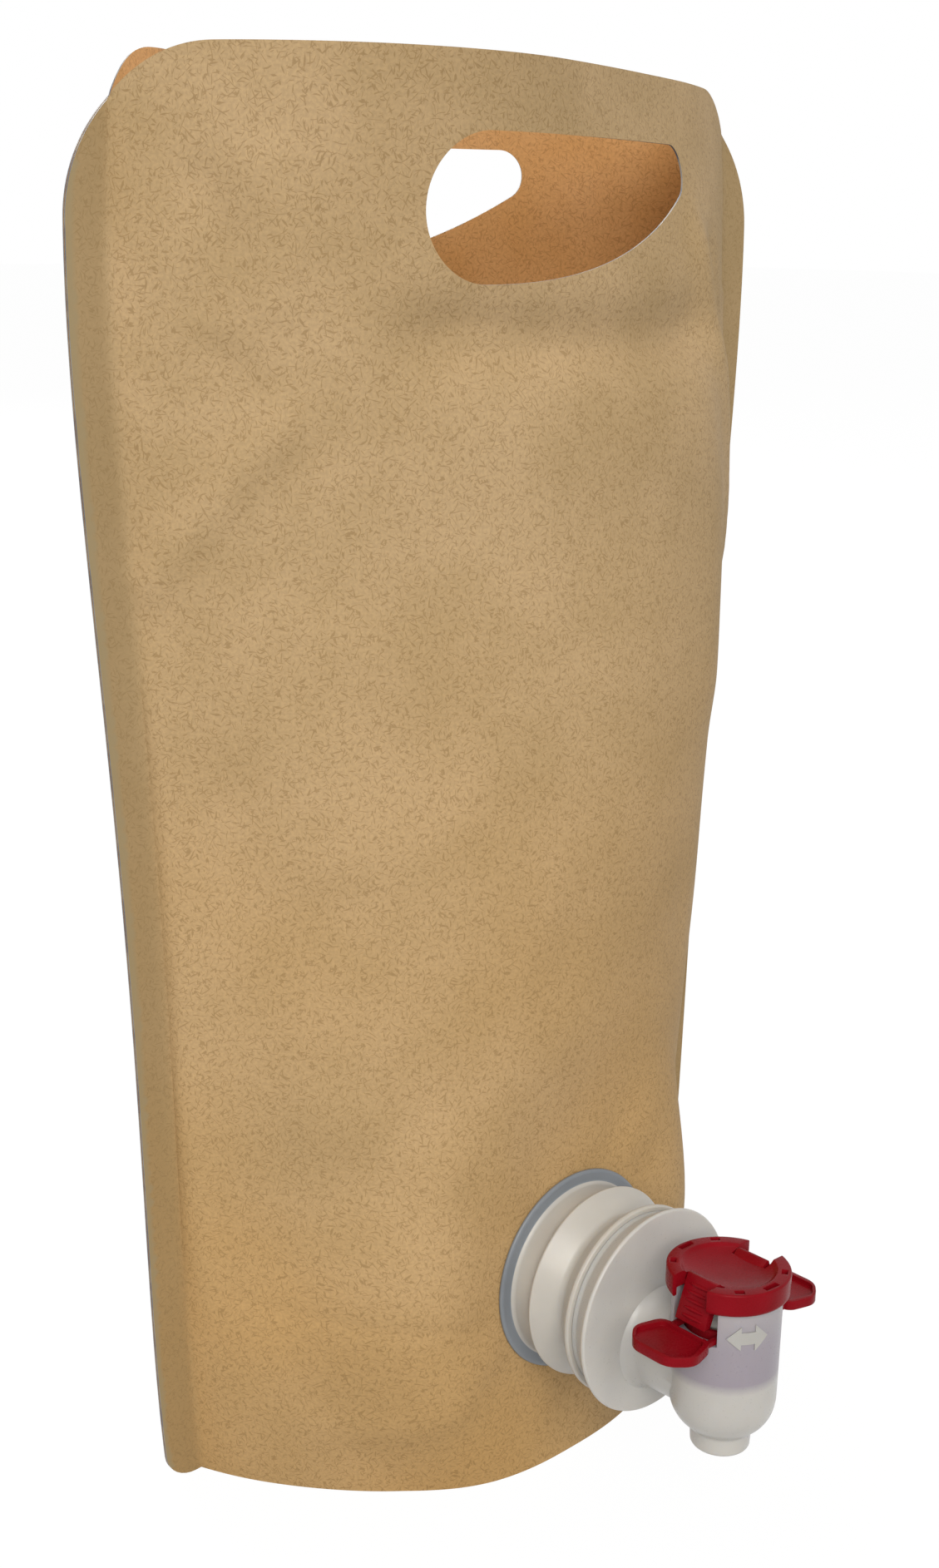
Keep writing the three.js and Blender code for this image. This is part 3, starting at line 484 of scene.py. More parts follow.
BACK_CREASES = (
    (((-20, 348), (-16, 320), (-22, 280), (-14, 240)), 5.0, -1.4),
    (((-70, 346), (-58, 320), (-64, 296)), 5.0, 1.2),
    (((20, 312), (36, 290), (30, 262)), 6.0, 1.2),
    (((-36, 300), (-20, 286), (10, 292)), 4.0, -1.3),
    (((-108, 250), (-107, 160), (-104, 50)), 4.5, 1.5),
    (((108, 250), (107, 160), (104, 50)), 4.5, 1.5),
    (((-80, 100), (-40, 84), (20, 88), (70, 96)), 8.0, 1.2),
    (((50, 250), (66, 200), (60, 150)), 9.0, -1.5),
    (((-60, 252), (-40, 200), (-48, 150)), 12.0, 1.4),
)


BROAD_RIPPLE = 0.34
FINE_RIPPLE = 0.16
PUCKERS = ((9, 0.6, 0.26), (14, 2.1, 0.15))     # rays round the weld: how many, turn, height


def relief(s, z, creases, with_gland):
    """How far the film stands off its smooth shape, in millimetres."""
    broad = np.sin(s / 21 + 1.3 * np.sin(z / 47)) * np.sin(z / 33 + 0.8 * np.sin(s / 38))
    fine = np.sin(s / 9.5 + z / 27) * np.sin(z / 12.5 - s / 41)
    rise = BROAD_RIPPLE * broad + FINE_RIPPLE * fine
    for path, wide, high in creases:
        away, along = near_path(s, z, path)
        fade = smoothstep(along, 0, 0.18) * (1 - smoothstep(along, 0.82, 1))
        rise = rise + high * fade * np.exp(-(away / wide) ** 2)
    if with_gland:
        x, up = s - GLAND_SHIFT, z - GLAND_HEIGHT
        away = np.hypot(x, up)
        angle = np.arctan2(up, x)
        band = smoothstep(away, 27, 33) * (1 - smoothstep(away, 36, 62))
        rays = sum(high * np.sin(many * angle + turn) for many, turn, high in PUCKERS)
        rise = rise * smoothstep(away, 27, 48) + band * rays
    # A hollow fades further from the edge than a rise, so that no panel cuts the other
    edge = POUCH_WIDTH / 2 - np.abs(s)
    rise = np.clip(rise, -RELIEF_LIMIT, RELIEF_LIMIT)
    return rise * np.where(rise > 0, smoothstep(edge, 1, 12), smoothstep(edge, 9, 34))


def film_point(sheet, s, z, off, creases, with_gland):
    """A place on a sheet's surface, off its middle surface and with its creases."""
    step = 0.5
    across = sheet(s + step, z) - sheet(s - step, z)
    up = sheet(s, z + step) - sheet(s, z - step)
    normal = np.cross(across, up)
    normal /= np.linalg.norm(normal, axis=-1, keepdims=True)
    if sheet is back_sheet:
        normal = -normal
    lift = off + relief(s, z, creases, with_gland)
    return sheet(s, z) + normal * lift[..., None]


def handle_outline():
    """One straight top edge, two round ends and a lower edge that is a wide arc."""
    left_y = HANDLE_TOP_EDGE - HANDLE_LEFT_R
    right_y = HANDLE_TOP_EDGE - HANDLE_RIGHT_R
    lower_y = HANDLE_TOP_EDGE - 2 * HANDLE_LEFT_R + HANDLE_LOWER_R
    drop = lower_y - right_y
    run = math.sqrt((HANDLE_LOWER_R - HANDLE_RIGHT_R) ** 2 - drop ** 2)
    meet = math.atan2(-drop, run)

    def arc(x, y, radius, start, end, steps):
        return [(x + radius * math.cos(start + (end - start) * i / steps),
                 y + radius * math.sin(start + (end - start) * i / steps))
                for i in range(steps + 1)]

    quarter = math.pi / 2
    return (arc(HANDLE_LEFT_X, left_y, HANDLE_LEFT_R, quarter, 3 * quarter, 40)
            + arc(HANDLE_LEFT_X, lower_y, HANDLE_LOWER_R, -quarter, meet, 30)[1:]
            + arc(HANDLE_LEFT_X + run, right_y, HANDLE_RIGHT_R, meet, quarter, 20)[1:])


def gland_outline(radius):
    """The round hole under the gland, brought back to the flat sheet."""
    found = []
    for i in range(72):
        angle = 2 * math.pi * i / 72
        x = tap_seat[0] + radius * math.cos(angle)
        z = tap_seat[2] + radius * math.sin(angle)
        low, high = -60.0, 60.0
        for _ in range(30):
            middle = (low + high) / 2
            here = free_sheet(np.array([middle]), np.array([z]))[0, 0]
            low, high = (middle, high) if here < x else (low, middle)
        found.append(((low + high) / 2, z))
    return found


def panel_outline():
    """The flat panel, whose four corners are rounded."""
    half, high = POUCH_WIDTH / 2, POUCH_HEIGHT
    corners = (
        (half - BOTTOM_CORNER_R, BOTTOM_CORNER_R, BOTTOM_CORNER_R, -0.5 * math.pi),
        (half - TOP_CORNER_R, high - TOP_CORNER_R, TOP_CORNER_R, 0.0),
        (-half + TOP_CORNER_R, high - TOP_CORNER_R, TOP_CORNER_R, 0.5 * math.pi),
        (-half + BOTTOM_CORNER_R, BOTTOM_CORNER_R, BOTTOM_CORNER_R, math.pi),
    )
    path = []
    for x, z, radius, start in corners:
        steps = max(8, int(radius))
        path += [(x + radius * math.cos(start + math.pi / 2 * i / steps),
                  z + radius * math.sin(start + math.pi / 2 * i / steps))
                 for i in range(steps + 1)]
    return path


def spaced(path, pitch):
    """A closed path with a point at least every pitch."""
    found = []
    for (x0, z0), (x1, z1) in zip(path, path[1:] + path[:1]):
        parts = max(1, int(math.hypot(x1 - x0, z1 - z0) / pitch + 0.5))
        found += [(x0 + (x1 - x0) * i / parts, z0 + (z1 - z0) * i / parts)
                  for i in range(parts)]
    kept = [found[0]]
    for point in found[1:]:
        if math.dist(point, kept[-1]) > pitch * 0.25:
            kept.append(point)
    return kept


def inside(points, path):
    """Which points lie inside a closed path."""
    x, z = points[:, 0], points[:, 1]
    odd = np.zeros(len(points), bool)
    for (x0, z0), (x1, z1) in zip(path, path[1:] + path[:1]):
        if z0 == z1:
            continue
        hit = (z0 > z) != (z1 > z)
        odd ^= hit & (x < (x1 - x0) * (z - z0) / (z1 - z0) + x0)
    return odd


def nearest(points, path):
    """How far each point is from the closest point of a path."""
    ring = np.array(path)
    found = np.full(len(points), 1e9)
    for start in range(0, len(points), 4000):
        part = points[start:start + 4000]
        gaps = np.hypot(part[:, None, 0] - ring[None, :, 0], part[:, None, 1] - ring[None, :, 1])
        found[start:start + 4000] = gaps.min(1)
    return found


def flat_mesh(outline, holes, pitch):
    """Triangles over a flat region, with its outline and holes followed exactly."""
    rings = [spaced(path, pitch * 0.8) for path in (outline, *holes)]
    low, high = np.array(outline).min(0), np.array(outline).max(0)
    rows = np.arange(low[1] + pitch, high[1], pitch * 0.87)
    grid = []
    for i, z in enumerate(rows):
        xs = np.arange(low[0] + pitch * (0.5 if i % 2 else 1.0), high[0], pitch)
        grid.append(np.stack([xs, np.full_like(xs, z)], 1))
    grid = np.concatenate(grid)
    edge = np.concatenate([np.array(ring) for ring in rings])
    keep = inside(grid, rings[0]) & (nearest(grid, edge) > pitch * 0.55)
    for ring in rings[1:]:
        keep &= ~inside(grid, ring)
    grid = grid[keep]
    points = np.concatenate([edge, grid])
    edges, at = [], 0
    for ring in rings:
        edges += [(at + i, at + (i + 1) % len(ring)) for i in range(len(ring))]
        at += len(ring)
    found = delaunay_2d_cdt([Vector(p) for p in points], edges, [], 0, 1e-5)
    flat = np.array([tuple(v) for v in found[0]])
    faces = np.array(found[2])
    middles = flat[faces].mean(1)
    keep = inside(middles, rings[0])
    for ring in rings[1:]:
        keep &= ~inside(middles, ring)
    return flat, faces[keep]


def make_object(name, vertices, faces, materials, face_slots=None):
    """A mesh object in the scene; each face may name the slot of its material."""
    mesh = bpy.data.meshes.new(name)
    mesh.from_pydata([tuple(v) for v in vertices], [], [tuple(f) for f in faces])
    for one in materials:
        mesh.materials.append(one)
    if face_slots is not None:
        mesh.polygons.foreach_set("material_index", np.array(face_slots, np.int32))
    mesh.validate()
    made = bpy.data.objects.new(name, mesh)
    bpy.context.scene.collection.objects.link(made)
    return made


def smooth(obj, degrees):
    """Smooth shading with sharp edges where faces meet at more than the angle."""
    mesh = obj.data
    mesh.polygons.foreach_set("use_smooth", np.ones(len(mesh.polygons), bool))
    mesh.set_sharp_from_angle(angle=math.radians(degrees))
    mesh.update()


def recalculate(obj):
    """Merges doubles and turns the faces of a closed mesh outwards."""
    work = bmesh.new()
    work.from_mesh(obj.data)
    bmesh.ops.remove_doubles(work, verts=work.verts, dist=1e-7)
    bmesh.ops.recalc_face_normals(work, faces=work.faces)
    work.to_mesh(obj.data)
    work.free()


def lay_flat(mesh, across, up):
    """Gives each vertex its place on the flat sheet, in millimetres, as a UV map."""
    layer = mesh.uv_layers.new(name="flat")
    corners = np.zeros(len(mesh.loops), np.int32)
    mesh.loops.foreach_get("vertex_index", corners)
    uv = np.stack([across[corners] / SHEET_UNIT + 0.5, up[corners] / SHEET_UNIT], 1)
    layer.data.foreach_set("uv", uv.astype(np.float32).ravel())


def shell_faces(faces, count):
    """Both faces of a sheet and the walls along its edges; each face has count points."""
    pairs = {(f[i], f[(i + 1) % 3]): True for f in faces for i in range(3)}
    walls = [(j, i, i + count, j + count) for i, j in pairs if (j, i) not in pairs]
    sides = (faces, faces[:, ::-1] + count, walls)
    slots = [slot for slot, side in enumerate(sides) for _ in side]
    return [[int(i) for i in f] for side in sides for f in side], slots


def film_panel(name, sheet, creases, holes, with_gland, strip_side):
    """A laminate sheet: outer face, inner face and the cut edge between them."""
    flat, faces = flat_mesh(panel_outline(), holes, MESH_PITCH)
    s, z = flat[:, 0], flat[:, 1]
    layers = [film_point(sheet, s, z, np.full(len(s), off), creases, with_gland)
              for off in (SHEET_GAP + FILM, SHEET_GAP)]
    points = (np.concatenate(layers) + np.array(SEAM)) * MM
    a, b, c = layers[0][faces[0]]
    outward = -1 if sheet is back_sheet else 1
    if np.cross(b - a, c - a)[1] * outward > 0:
        faces = faces[:, ::-1]
    every, slots = shell_faces(faces, len(flat))
    made = make_object(
        name, points, every, (kraft_outer, kraft_inner, laminate_edge), slots)
    lay_flat(made.data, np.concatenate([s, s]), np.concatenate([z, z]))
    # A greyer strip along one side edge, which widens upwards
    wide = 1.0 + 1.2 * smoothstep(z, 20, 140)
    strip = np.where(
        s * strip_side > 0,
        1 - smoothstep(POUCH_WIDTH / 2 - np.abs(s), wide - 0.4, wide + 0.4), 0)
    # Where the painted shade over the side seals lies
    seal = smoothstep(np.abs(s), SEAL_LINE - 3.5, SEAL_LINE + 2.5)
    for label, share in (("strip", strip), ("seal", seal)):
        values = made.data.attributes.new(label, "FLOAT", "POINT")
        values.data.foreach_set("value", np.concatenate([share, share]).astype(np.float32))
    smooth(made, 40)
    return made


handle = handle_outline()
front = film_panel(
    "front_panel_film", front_sheet, FRONT_CREASES, [handle, gland_outline(GLAND_HOLE_R)], True, -1)
back = film_panel("back_panel_film", back_sheet, BACK_CREASES, [handle], False, 1)


def gusset_film():
    """The base sheet: a skirt along both panels and a vault folded up between them."""
    reach = SEAL_LINE - GUSSET_END
    s = np.linspace(-reach, reach, GUSSET_COLUMNS + 1)

    def wall(sheet, z, inset):
        """One row of points against a panel's inner face, at a height."""
        heights = np.full_like(s, z)
        creases = FRONT_CREASES if sheet is front_sheet else BACK_CREASES
        off = np.full_like(s, SHEET_GAP - SKIRT_TUCK - inset)
        return film_point(sheet, s, heights, off, creases, sheet is front_sheet)

    def ribbon(inset):
        """Rows from the front panel's foot over the vault to the back panel's foot."""
        near, far = wall(front_sheet, GUSSET_SEAL, inset), wall(back_sheet, GUSSET_SEAL, inset)
        half = (far[:, 1] - near[:, 1]) / 2 + inset
        slack = np.maximum(GUSSET_DEPTH ** 2 - half ** 2, 0)
        rise = np.sqrt(slack + GUSSET_RISE ** 2) - inset
        rows = [wall(front_sheet, 0.0, inset), wall(front_sheet, SKIRT_STEP, inset)]
        for i in range(GUSSET_ROWS + 1):
            turn = math.pi * i / GUSSET_ROWS
            side = (1 - math.cos(turn)) / 2
            point = near * (1 - side) + far * side
            fold = VAULT_RIPPLE * np.sin(s / 11 + 5 * side) * math.sin(turn)
            point[:, 2] += rise * math.sin(turn) + fold
            rows.append(point)
        rows += [wall(back_sheet, SKIRT_STEP, inset), wall(back_sheet, 0.0, inset)]
        return np.stack(rows)

    upper, lower = ribbon(0.0), ribbon(FILM)
    rows, width = upper.shape[:2]
    last_row, last = rows - 1, width - 1
    points = (np.concatenate([upper.reshape(-1, 3), lower.reshape(-1, 3)])
              + np.array(SEAM)) * MM
    count = rows * width
    faces, slots = [], []

    def face(slot, *corners):
        """Each corner is layer, row and column."""
        faces.append([layer * count + r * width + c for layer, r, c in corners])
        slots.append(slot)

    for r in range(last_row):
        for c in range(last):
            face(1, (0, r, c), (0, r, c + 1), (0, r + 1, c + 1), (0, r + 1, c))
            face(0, (1, r, c), (1, r + 1, c), (1, r + 1, c + 1), (1, r, c + 1))
        face(2, (0, r, 0), (0, r + 1, 0), (1, r + 1, 0), (1, r, 0))
        face(2, (0, r + 1, last), (0, r, last), (1, r, last), (1, r + 1, last))
    for c in range(last):
        face(2, (0, 0, c + 1), (0, 0, c), (1, 0, c), (1, 0, c + 1))
        face(2, (0, last_row, c), (0, last_row, c + 1), (1, last_row, c + 1), (1, last_row, c))
    made = make_object(
        "bottom_gusset_film", points, faces, (kraft_outer, kraft_inner, laminate_edge), slots)
    across, up = np.tile(s, rows), np.repeat(np.arange(rows) * ROW_PITCH, width)
    lay_flat(made.data, np.concatenate([across, across]), np.concatenate([up, up]))
    recalculate(made)
    smooth(made, 50)
    return made


gusset = gusset_film()


# Solid shapes in the tap's own frame, in millimetres: it points along -Y, its barrel along Z

BARREL_OFF = 50.8
ROUND = 144                    # sides of the large turned faces
SMALL_ROUND = 96


def eased(path, closed, radius, steps=4):
    """A profile whose corners are cut back and rounded."""
    found = []
    last = len(path) - 1
    for i, point in enumerate(path):
        here = Vector(point[:2])
        own = point[2] if len(point) > 2 else radius
        if not closed and i in (0, last):
            found.append(tuple(here))
            continue
        before, after = Vector(path[i - 1][:2]), Vector(path[(i + 1) % len(path)][:2])
        into, away = before - here, after - here
        cut = min(own, into.length * 0.45, away.length * 0.45)
        if cut < 0.02 or abs(into.normalized().dot(away.normalized()) + 1) < 0.002:
            found.append(tuple(here))
            continue
        start, end = here + into.normalized() * cut, here + away.normalized() * cut
        for k in range(steps + 1):
            t = k / steps
            found.append(tuple(start * (1 - t) ** 2 + here * 2 * t * (1 - t) + end * t * t))
    return found


def turned(name, profile, radius=0.3, sides=ROUND, up=True, steps=4):
    """A turned solid; profile is radius and height, closed or from axis to axis."""
    closed = profile[0][0] > 0
    path = eased(profile, closed, radius, steps)
    vertices, rings = [], []
    for r, h in path:
        if r < 1e-6:
            rings.append([len(vertices)] * sides)
            vertices.append((0, 0, h))
        else:
            rings.append(list(range(len(vertices), len(vertices) + sides)))
            vertices += [(r * math.cos(2 * math.pi * k / sides),
                          r * math.sin(2 * math.pi * k / sides), h) for k in range(sides)]
    faces = []
    pairs = list(zip(rings, rings[1:] + rings[:1])) if closed else list(zip(rings, rings[1:]))
    for one, two in pairs:
        for k in range(sides):
            n = (k + 1) % sides
            corners = []
            for v in (one[k], one[n], two[n], two[k]):
                if v not in corners:
                    corners.append(v)
            if len(corners) > 2:
                faces.append(corners)
    if up:
        vertices = [(x, y - BARREL_OFF, h) for x, y, h in vertices]
    else:
        vertices = [(x, -h, y) for x, y, h in vertices]
    made = make_object(name, vertices, faces, ())
    recalculate(made)
    return made


def prism(name, outline, low, high, plane="XY"):
    """An outline as a prism: in XY it rises along Z, in XZ it runs along Y."""
    count = len(outline)
    vertices = [(x, y - BARREL_OFF, h) if plane == "XY" else (x, h - BARREL_OFF, y)
                for h in (low, high) for x, y in outline]
    faces = [list(range(count)), list(range(2 * count - 1, count - 1, -1))]
    faces += [[i, (i + 1) % count, count + (i + 1) % count, count + i] for i in range(count)]
    made = make_object(name, vertices, faces, ())
    recalculate(made)
    return made


def box_between(name, low, high):
    """A box about the barrel's axis, from its low corner to its high one."""
    outline = [(low[0], low[1]), (high[0], low[1]), (high[0], high[1]), (low[0], high[1])]
    return prism(name, outline, low[2], high[2])


def rod_out(name, radius, start, end, z, sides):
    """A rod that lies along the tap at a height."""
    path = [(0, start), (radius, start), (radius, end), (0, end)]
    made = turned(name, path, 0.0, sides, up=False)
    made.data.transform(Matrix.Translation((0, 0, z)))
    return made


def settled(obj):
    """Applies the modifiers of an object to its mesh."""
    bpy.context.view_layer.update()
    graph = bpy.context.evaluated_depsgraph_get()
    mesh = bpy.data.meshes.new_from_object(obj.evaluated_get(graph))
    obj.modifiers.clear()
    obj.data = mesh
    return obj


def combine(base, operation, *tools):
    """Joins or cuts a closed mesh with others, one after the other."""
    for tool in tools:
        work = base.modifiers.new("work", "BOOLEAN")
        work.operation = operation
        work.solver = "EXACT"
        work.object = tool
        settled(base)
        bpy.data.objects.remove(tool)
    return base


def bevelled(obj, width, segments, degrees=42):
    """Rounds the edges where faces meet at more than the angle."""
    work = obj.modifiers.new("edges", "BEVEL")
    work.width = width
    work.segments = segments
    work.limit_method = "ANGLE"
    work.angle_limit = math.radians(degrees)
    work.harden_normals = False
    return settled(obj)


tap_place = Matrix.Scale(MM, 4) @ Matrix.Translation(
    Vector(tap_seat) + SEAM) @ tap_turn


def seat_in_tap(obj, name, materials, degrees=30):
    """Puts a finished shape where the tap sits, with its materials."""
    obj.name = name
    obj.data.name = name
    obj.data.transform(tap_place)
    obj.data.materials.clear()
    for one in materials:
        obj.data.materials.append(one)
    recalculate(obj)
    smooth(obj, degrees)
    return obj


def join_meshes(base, *others):
    """Adds the faces of other objects to one, and removes those objects."""
    work = bmesh.new()
    for one in (base, *others):
        work.from_mesh(one.data)
    work.to_mesh(base.data)
    work.free()
    for one in others:
        bpy.data.objects.remove(one)
    return base


# Gland: turned profiles hold radius, height and, where it has one, the corner's rounding

GLAND_BORE_R = 17.8
GLAND_R = 26.9
NECK_R = 23.0
GLAND_FACE = 21.62

gland = turned("gland", [
    (GLAND_BORE_R, -4, 0.3), (20, -4, 0.3), (20, -1, 0.2), (GLAND_R, -1, 0.2),
    (GLAND_R, -0.35, 0.4), (26.2, 0, 0.3), (23.9, 0.1, 0.5), (23.2, 1.0, 0.6),
    (NECK_R, 7.2, 0.8), (24.9, 7.7, 0.5), (25.4, 8.6, 0.6), (24.6, 9.4, 0.6),
    (20.4, 13.6, 1.4), (20.3, 15.2, 1.4), (23.9, 19.6, 0.6), (24.9, 20.6, 0.5),
    (24.6, GLAND_FACE, 0.4), (GLAND_BORE_R, GLAND_FACE, 0.3)], up=False, steps=5)
seat_in_tap(gland, "spout_gland_ribbed", (frosted, shaded_weld_flange))

# The face of the weld flange, outside the neck's foot, takes the grey of painted shade
WELD_INNER_R = 23.3
WELD_LOW, WELD_HIGH = -1.2, 0.28
to_tap = tap_place.inverted()
for polygon in gland.data.polygons:
    local = to_tap @ polygon.center
    if WELD_LOW < -local.y < WELD_HIGH and math.hypot(local.x, local.z) > WELD_INNER_R:
        polygon.material_index = 1

# Tap body

PLUG_R = 17.5
PLUG_FOOT = -2
INLET_DROP = 7.0               # the inlet tube lies this far below the middle of the plate
BARREL_R = 13.4
BARREL_TOP = 17.6
BARREL_FOOT = -25.6
BORE_R = 10.6
OUTLET_R = 5.2
OUTLET_TOP = -16.2
SLOT_HALF = 6.8
SLOT_FOOT = 6.8

plate = turned("plate", [
    (0, 27.2), (15.0, 27.2, 0.2), (15.0, PLUG_FOOT, 0.3), (PLUG_R, PLUG_FOOT, 0.3),
    (PLUG_R, 21.7, 0.2), (23.4, 21.7, 0.2), (23.4, 23.2, 0.5), (25.9, 27.0, 0.6),
    (26.5, 28.0, 0.5), (26.2, 28.7, 0.4), (19.0, 28.95, 2.0), (0, 29.1)], up=False)
inlet = turned("inlet", [
    (0, 28.0), (14.6, 28.0, 0.1), (12.9, 29.6, 1.6), (11.8, 32.5, 2.4), (11.5, 40.0, 2.0),
    (11.5, BARREL_OFF, 0.1), (0, BARREL_OFF)], up=False, sides=SMALL_ROUND)
inlet.data.transform(Matrix.Translation((0, 0, -INLET_DROP)))
barrel = turned("barrel", [
    (0, BARREL_TOP), (BARREL_R, BARREL_TOP, 0.4), (13.1, -12.0, 3.5), (12.5, -15.2, 2.5),
    (10.7, -18.2, 2.5), (8.2, -20.2, 1.0), (7.5, -21.0, 0.8), (7.3, -25.0, 0.4),
    (6.9, BARREL_FOOT, 0.3), (0, BARREL_FOOT)], steps=5)
bore = turned("bore", [
    (0, 21.0), (BORE_R, 21.0, 0), (BORE_R, OUTLET_TOP, 0.6), (OUTLET_R, OUTLET_TOP, 0.4),
    (OUTLET_R, -29.0, 0), (0, -29.0)], sides=SMALL_ROUND)
# The passage's radius and place differ a little from the bore's, so that no faces coincide
passage = rod_out("passage", 5.31, 23.7, BARREL_OFF - 3.3, -10.07, 50)
slots = box_between("slots", (-18, -SLOT_HALF, SLOT_FOOT), (18, SLOT_HALF, 21))
combine(barrel, "DIFFERENCE", slots)
combine(plate, "UNION", inlet, barrel)
combine(plate, "DIFFERENCE", passage, bore)

ARROW_TURN = math.radians(-117)
ARROW_UP = 9.6
ARROW_LAYERS = (13.68, 13.0)   # outer face, and a root inside the wall
ARROW_WRAP_R = 13.3


def raised_arrow():
    """A plain double arrow that stands a little off the barrel's wall."""
    outline = [(-5.4, 0), (-1.9, 3.0), (-1.9, 1.5), (1.6, 1.5), (1.6, 3.3), (5.0, 0),
               (1.6, -3.3), (1.6, -1.5), (-1.9, -1.5), (-1.9, -3.0)]
    flat, faces = flat_mesh(outline, [], 0.7)
    layers = []
    for radius in ARROW_LAYERS:
        angle = ARROW_TURN + flat[:, 0] / ARROW_WRAP_R
        layers.append(np.stack([
            radius * np.cos(angle), radius * np.sin(angle) - BARREL_OFF,
            flat[:, 1] + ARROW_UP], 1))
    every, _ = shell_faces(faces, len(flat))
    made = make_object("arrow", np.concatenate(layers), every, ())
    recalculate(made)
    return made


plate_faces = len(plate.data.polygons)
join_meshes(plate, raised_arrow())

PLUNGER_TONE = linear("887e8f")
PLUNGER_SHOWS = 0.75


def plunger_tint(tree, colour):
    """The red plunger shows faintly through the thin frosted wall, as a lilac band."""
    where = add(tree, "ShaderNodeTexCoord").outputs["Object"]
    place = Matrix.Translation((Vector(tap_seat) + SEAM) * MM) @ tap_turn
    local = add(tree, "ShaderNodeMapping", {"vector_type": "TEXTURE"}, {
        "Vector": where, "Location": place.to_translation(),
        "Rotation": place.to_euler("XYZ")})
    x, y, z = add(tree, "ShaderNodeSeparateXYZ", inputs={"Vector": local.outputs[0]}).outputs
    out = add(tree, "ShaderNodeMath", PLUS, {0: y, 1: BARREL_OFF * MM})
    level = add(tree, "ShaderNodeCombineXYZ", inputs={"X": x, "Y": out.outputs[0]})
    away = add(tree, "ShaderNodeVectorMath", {"operation": "LENGTH"}, {0: level.outputs[0]})

    # The band ends at the barrel's wall and the plunger's foot, and thins towards the cap
    share = PLUNGER_SHOWS
    for value, start, end, at_start, at_end in (
            (away.outputs["Value"], 13.2, 15.0, 1, 0), (z, -5.6, -3.0, 0, 1),
            (z, 6.0, 20.0, 1, 0.55)):
        fade = add(tree, "ShaderNodeMapRange", inputs={
            "Value": value, "From Min": start * MM, "From Max": end * MM,
            "To Min": at_start, "To Max": at_end})
        share = add(tree, "ShaderNodeMath", TIMES, {0: share, 1: fade.outputs[0]}).outputs[0]
    return add(tree, "ShaderNodeMix", COLOUR, {
        0: share, 6: colour, 7: PLUNGER_TONE}).outputs[2]


# The body's polyethylene is a thinner wall, so it is a little paler than the gland
frosted_barrel = moulded(
    "polyethylene_moulded_over_plunger", "c3c1bc", "bcbab6", 0.32, 14.0, 0.35,
    tint=plunger_tint)
seat_in_tap(plate, "tap_body_moulding", (frosted_barrel, frosted), 32)
for polygon in plate.data.polygons:
    polygon.material_index = int(polygon.index >= plate_faces)

# Cap

CAP_R = 15.0
CAP_TOP = 21.5
CAP_UNDER = 17.9
SKIRT_R = 13.7
SKIRT_FOOT = 15.9
NOTCH_HALF = 5.2
RIM_SLOTS = ((55, 2.4), (92, 4.6), (129, 2.4))     # angle from the tab, and length
RIM_SLOT_R = 13.3
RIM_SLOT_HALF = 0.75

cap = turned("cap", [
    (0, CAP_UNDER), (SKIRT_R, CAP_UNDER, 0.2), (SKIRT_R, SKIRT_FOOT, 0.2),
    (14.7, SKIRT_FOOT, 0.3), (CAP_R, 16.5, 0.3), (CAP_R, CAP_TOP, 0.55), (11.6, CAP_TOP, 0.3),
    (10.9, CAP_TOP - 0.7, 0.6), (8.0, CAP_TOP - 1.45, 1.5), (4.0, CAP_TOP - 1.92, 1.5),
    (0, CAP_TOP - 2.0)])
tools = []
for side in (-1, 1):
    low, high = sorted((side * 7.2, side * 18.0))
    tools.append(box_between("notch", (low, -NOTCH_HALF, 11), (high, NOTCH_HALF, 25)))
    for angle, long in RIM_SLOTS:
        slot = box_between("rim_slot", (-RIM_SLOT_HALF, -long / 2, CAP_TOP - 1.0),
                           (RIM_SLOT_HALF, long / 2, CAP_TOP + 1.0))
        slot.data.transform(
            Matrix.Translation((0, -BARREL_OFF, 0))
            @ Matrix.Rotation(math.radians(side * angle), 4, "Z")
            @ Matrix.Translation((RIM_SLOT_R, BARREL_OFF, 0)))
        tools.append(slot)
combine(cap, "DIFFERENCE", *tools)

TAB_TOP_X, TAB_TOP_Z = 9.6, 21.2
TAB_END_X, TAB_END_Z = 13.6, 10.8
TAB_THICK = 2.2
TAB_HALF = 4.5
TAB_SLOPE = (TAB_END_X - TAB_TOP_X) / (TAB_TOP_Z - TAB_END_Z)
BRIDGE_HALF = 5.4              # the bridges cross the gap on both sides of a tab
BRIDGE_LOW, BRIDGE_HIGH = 18.1, 19.1
bridge_x = TAB_TOP_X + TAB_SLOPE * (TAB_TOP_Z - (BRIDGE_LOW + BRIDGE_HIGH) / 2)

for side in (-1, 1):
    tab = prism("tab", [(side * x, z) for x, z in (
        (6.5, CAP_UNDER), (6.5, 19.5), (8.5, TAB_TOP_Z), (TAB_TOP_X, TAB_TOP_Z),
        (TAB_END_X, TAB_END_Z), (TAB_END_X - TAB_THICK, TAB_END_Z), (8.5, CAP_UNDER))],
        -TAB_HALF, TAB_HALF, "XZ")
    bridge = prism("bridge", [(side * x, z) for x, z in (
        (bridge_x - 1.9, BRIDGE_LOW), (bridge_x - 0.35, BRIDGE_LOW),
        (bridge_x - 0.65, BRIDGE_HIGH), (bridge_x - 1.9, BRIDGE_HIGH))],
        -BRIDGE_HALF, BRIDGE_HALF, "XZ")
    join_meshes(cap, tab, bridge)
bevelled(cap, 0.22, 2)


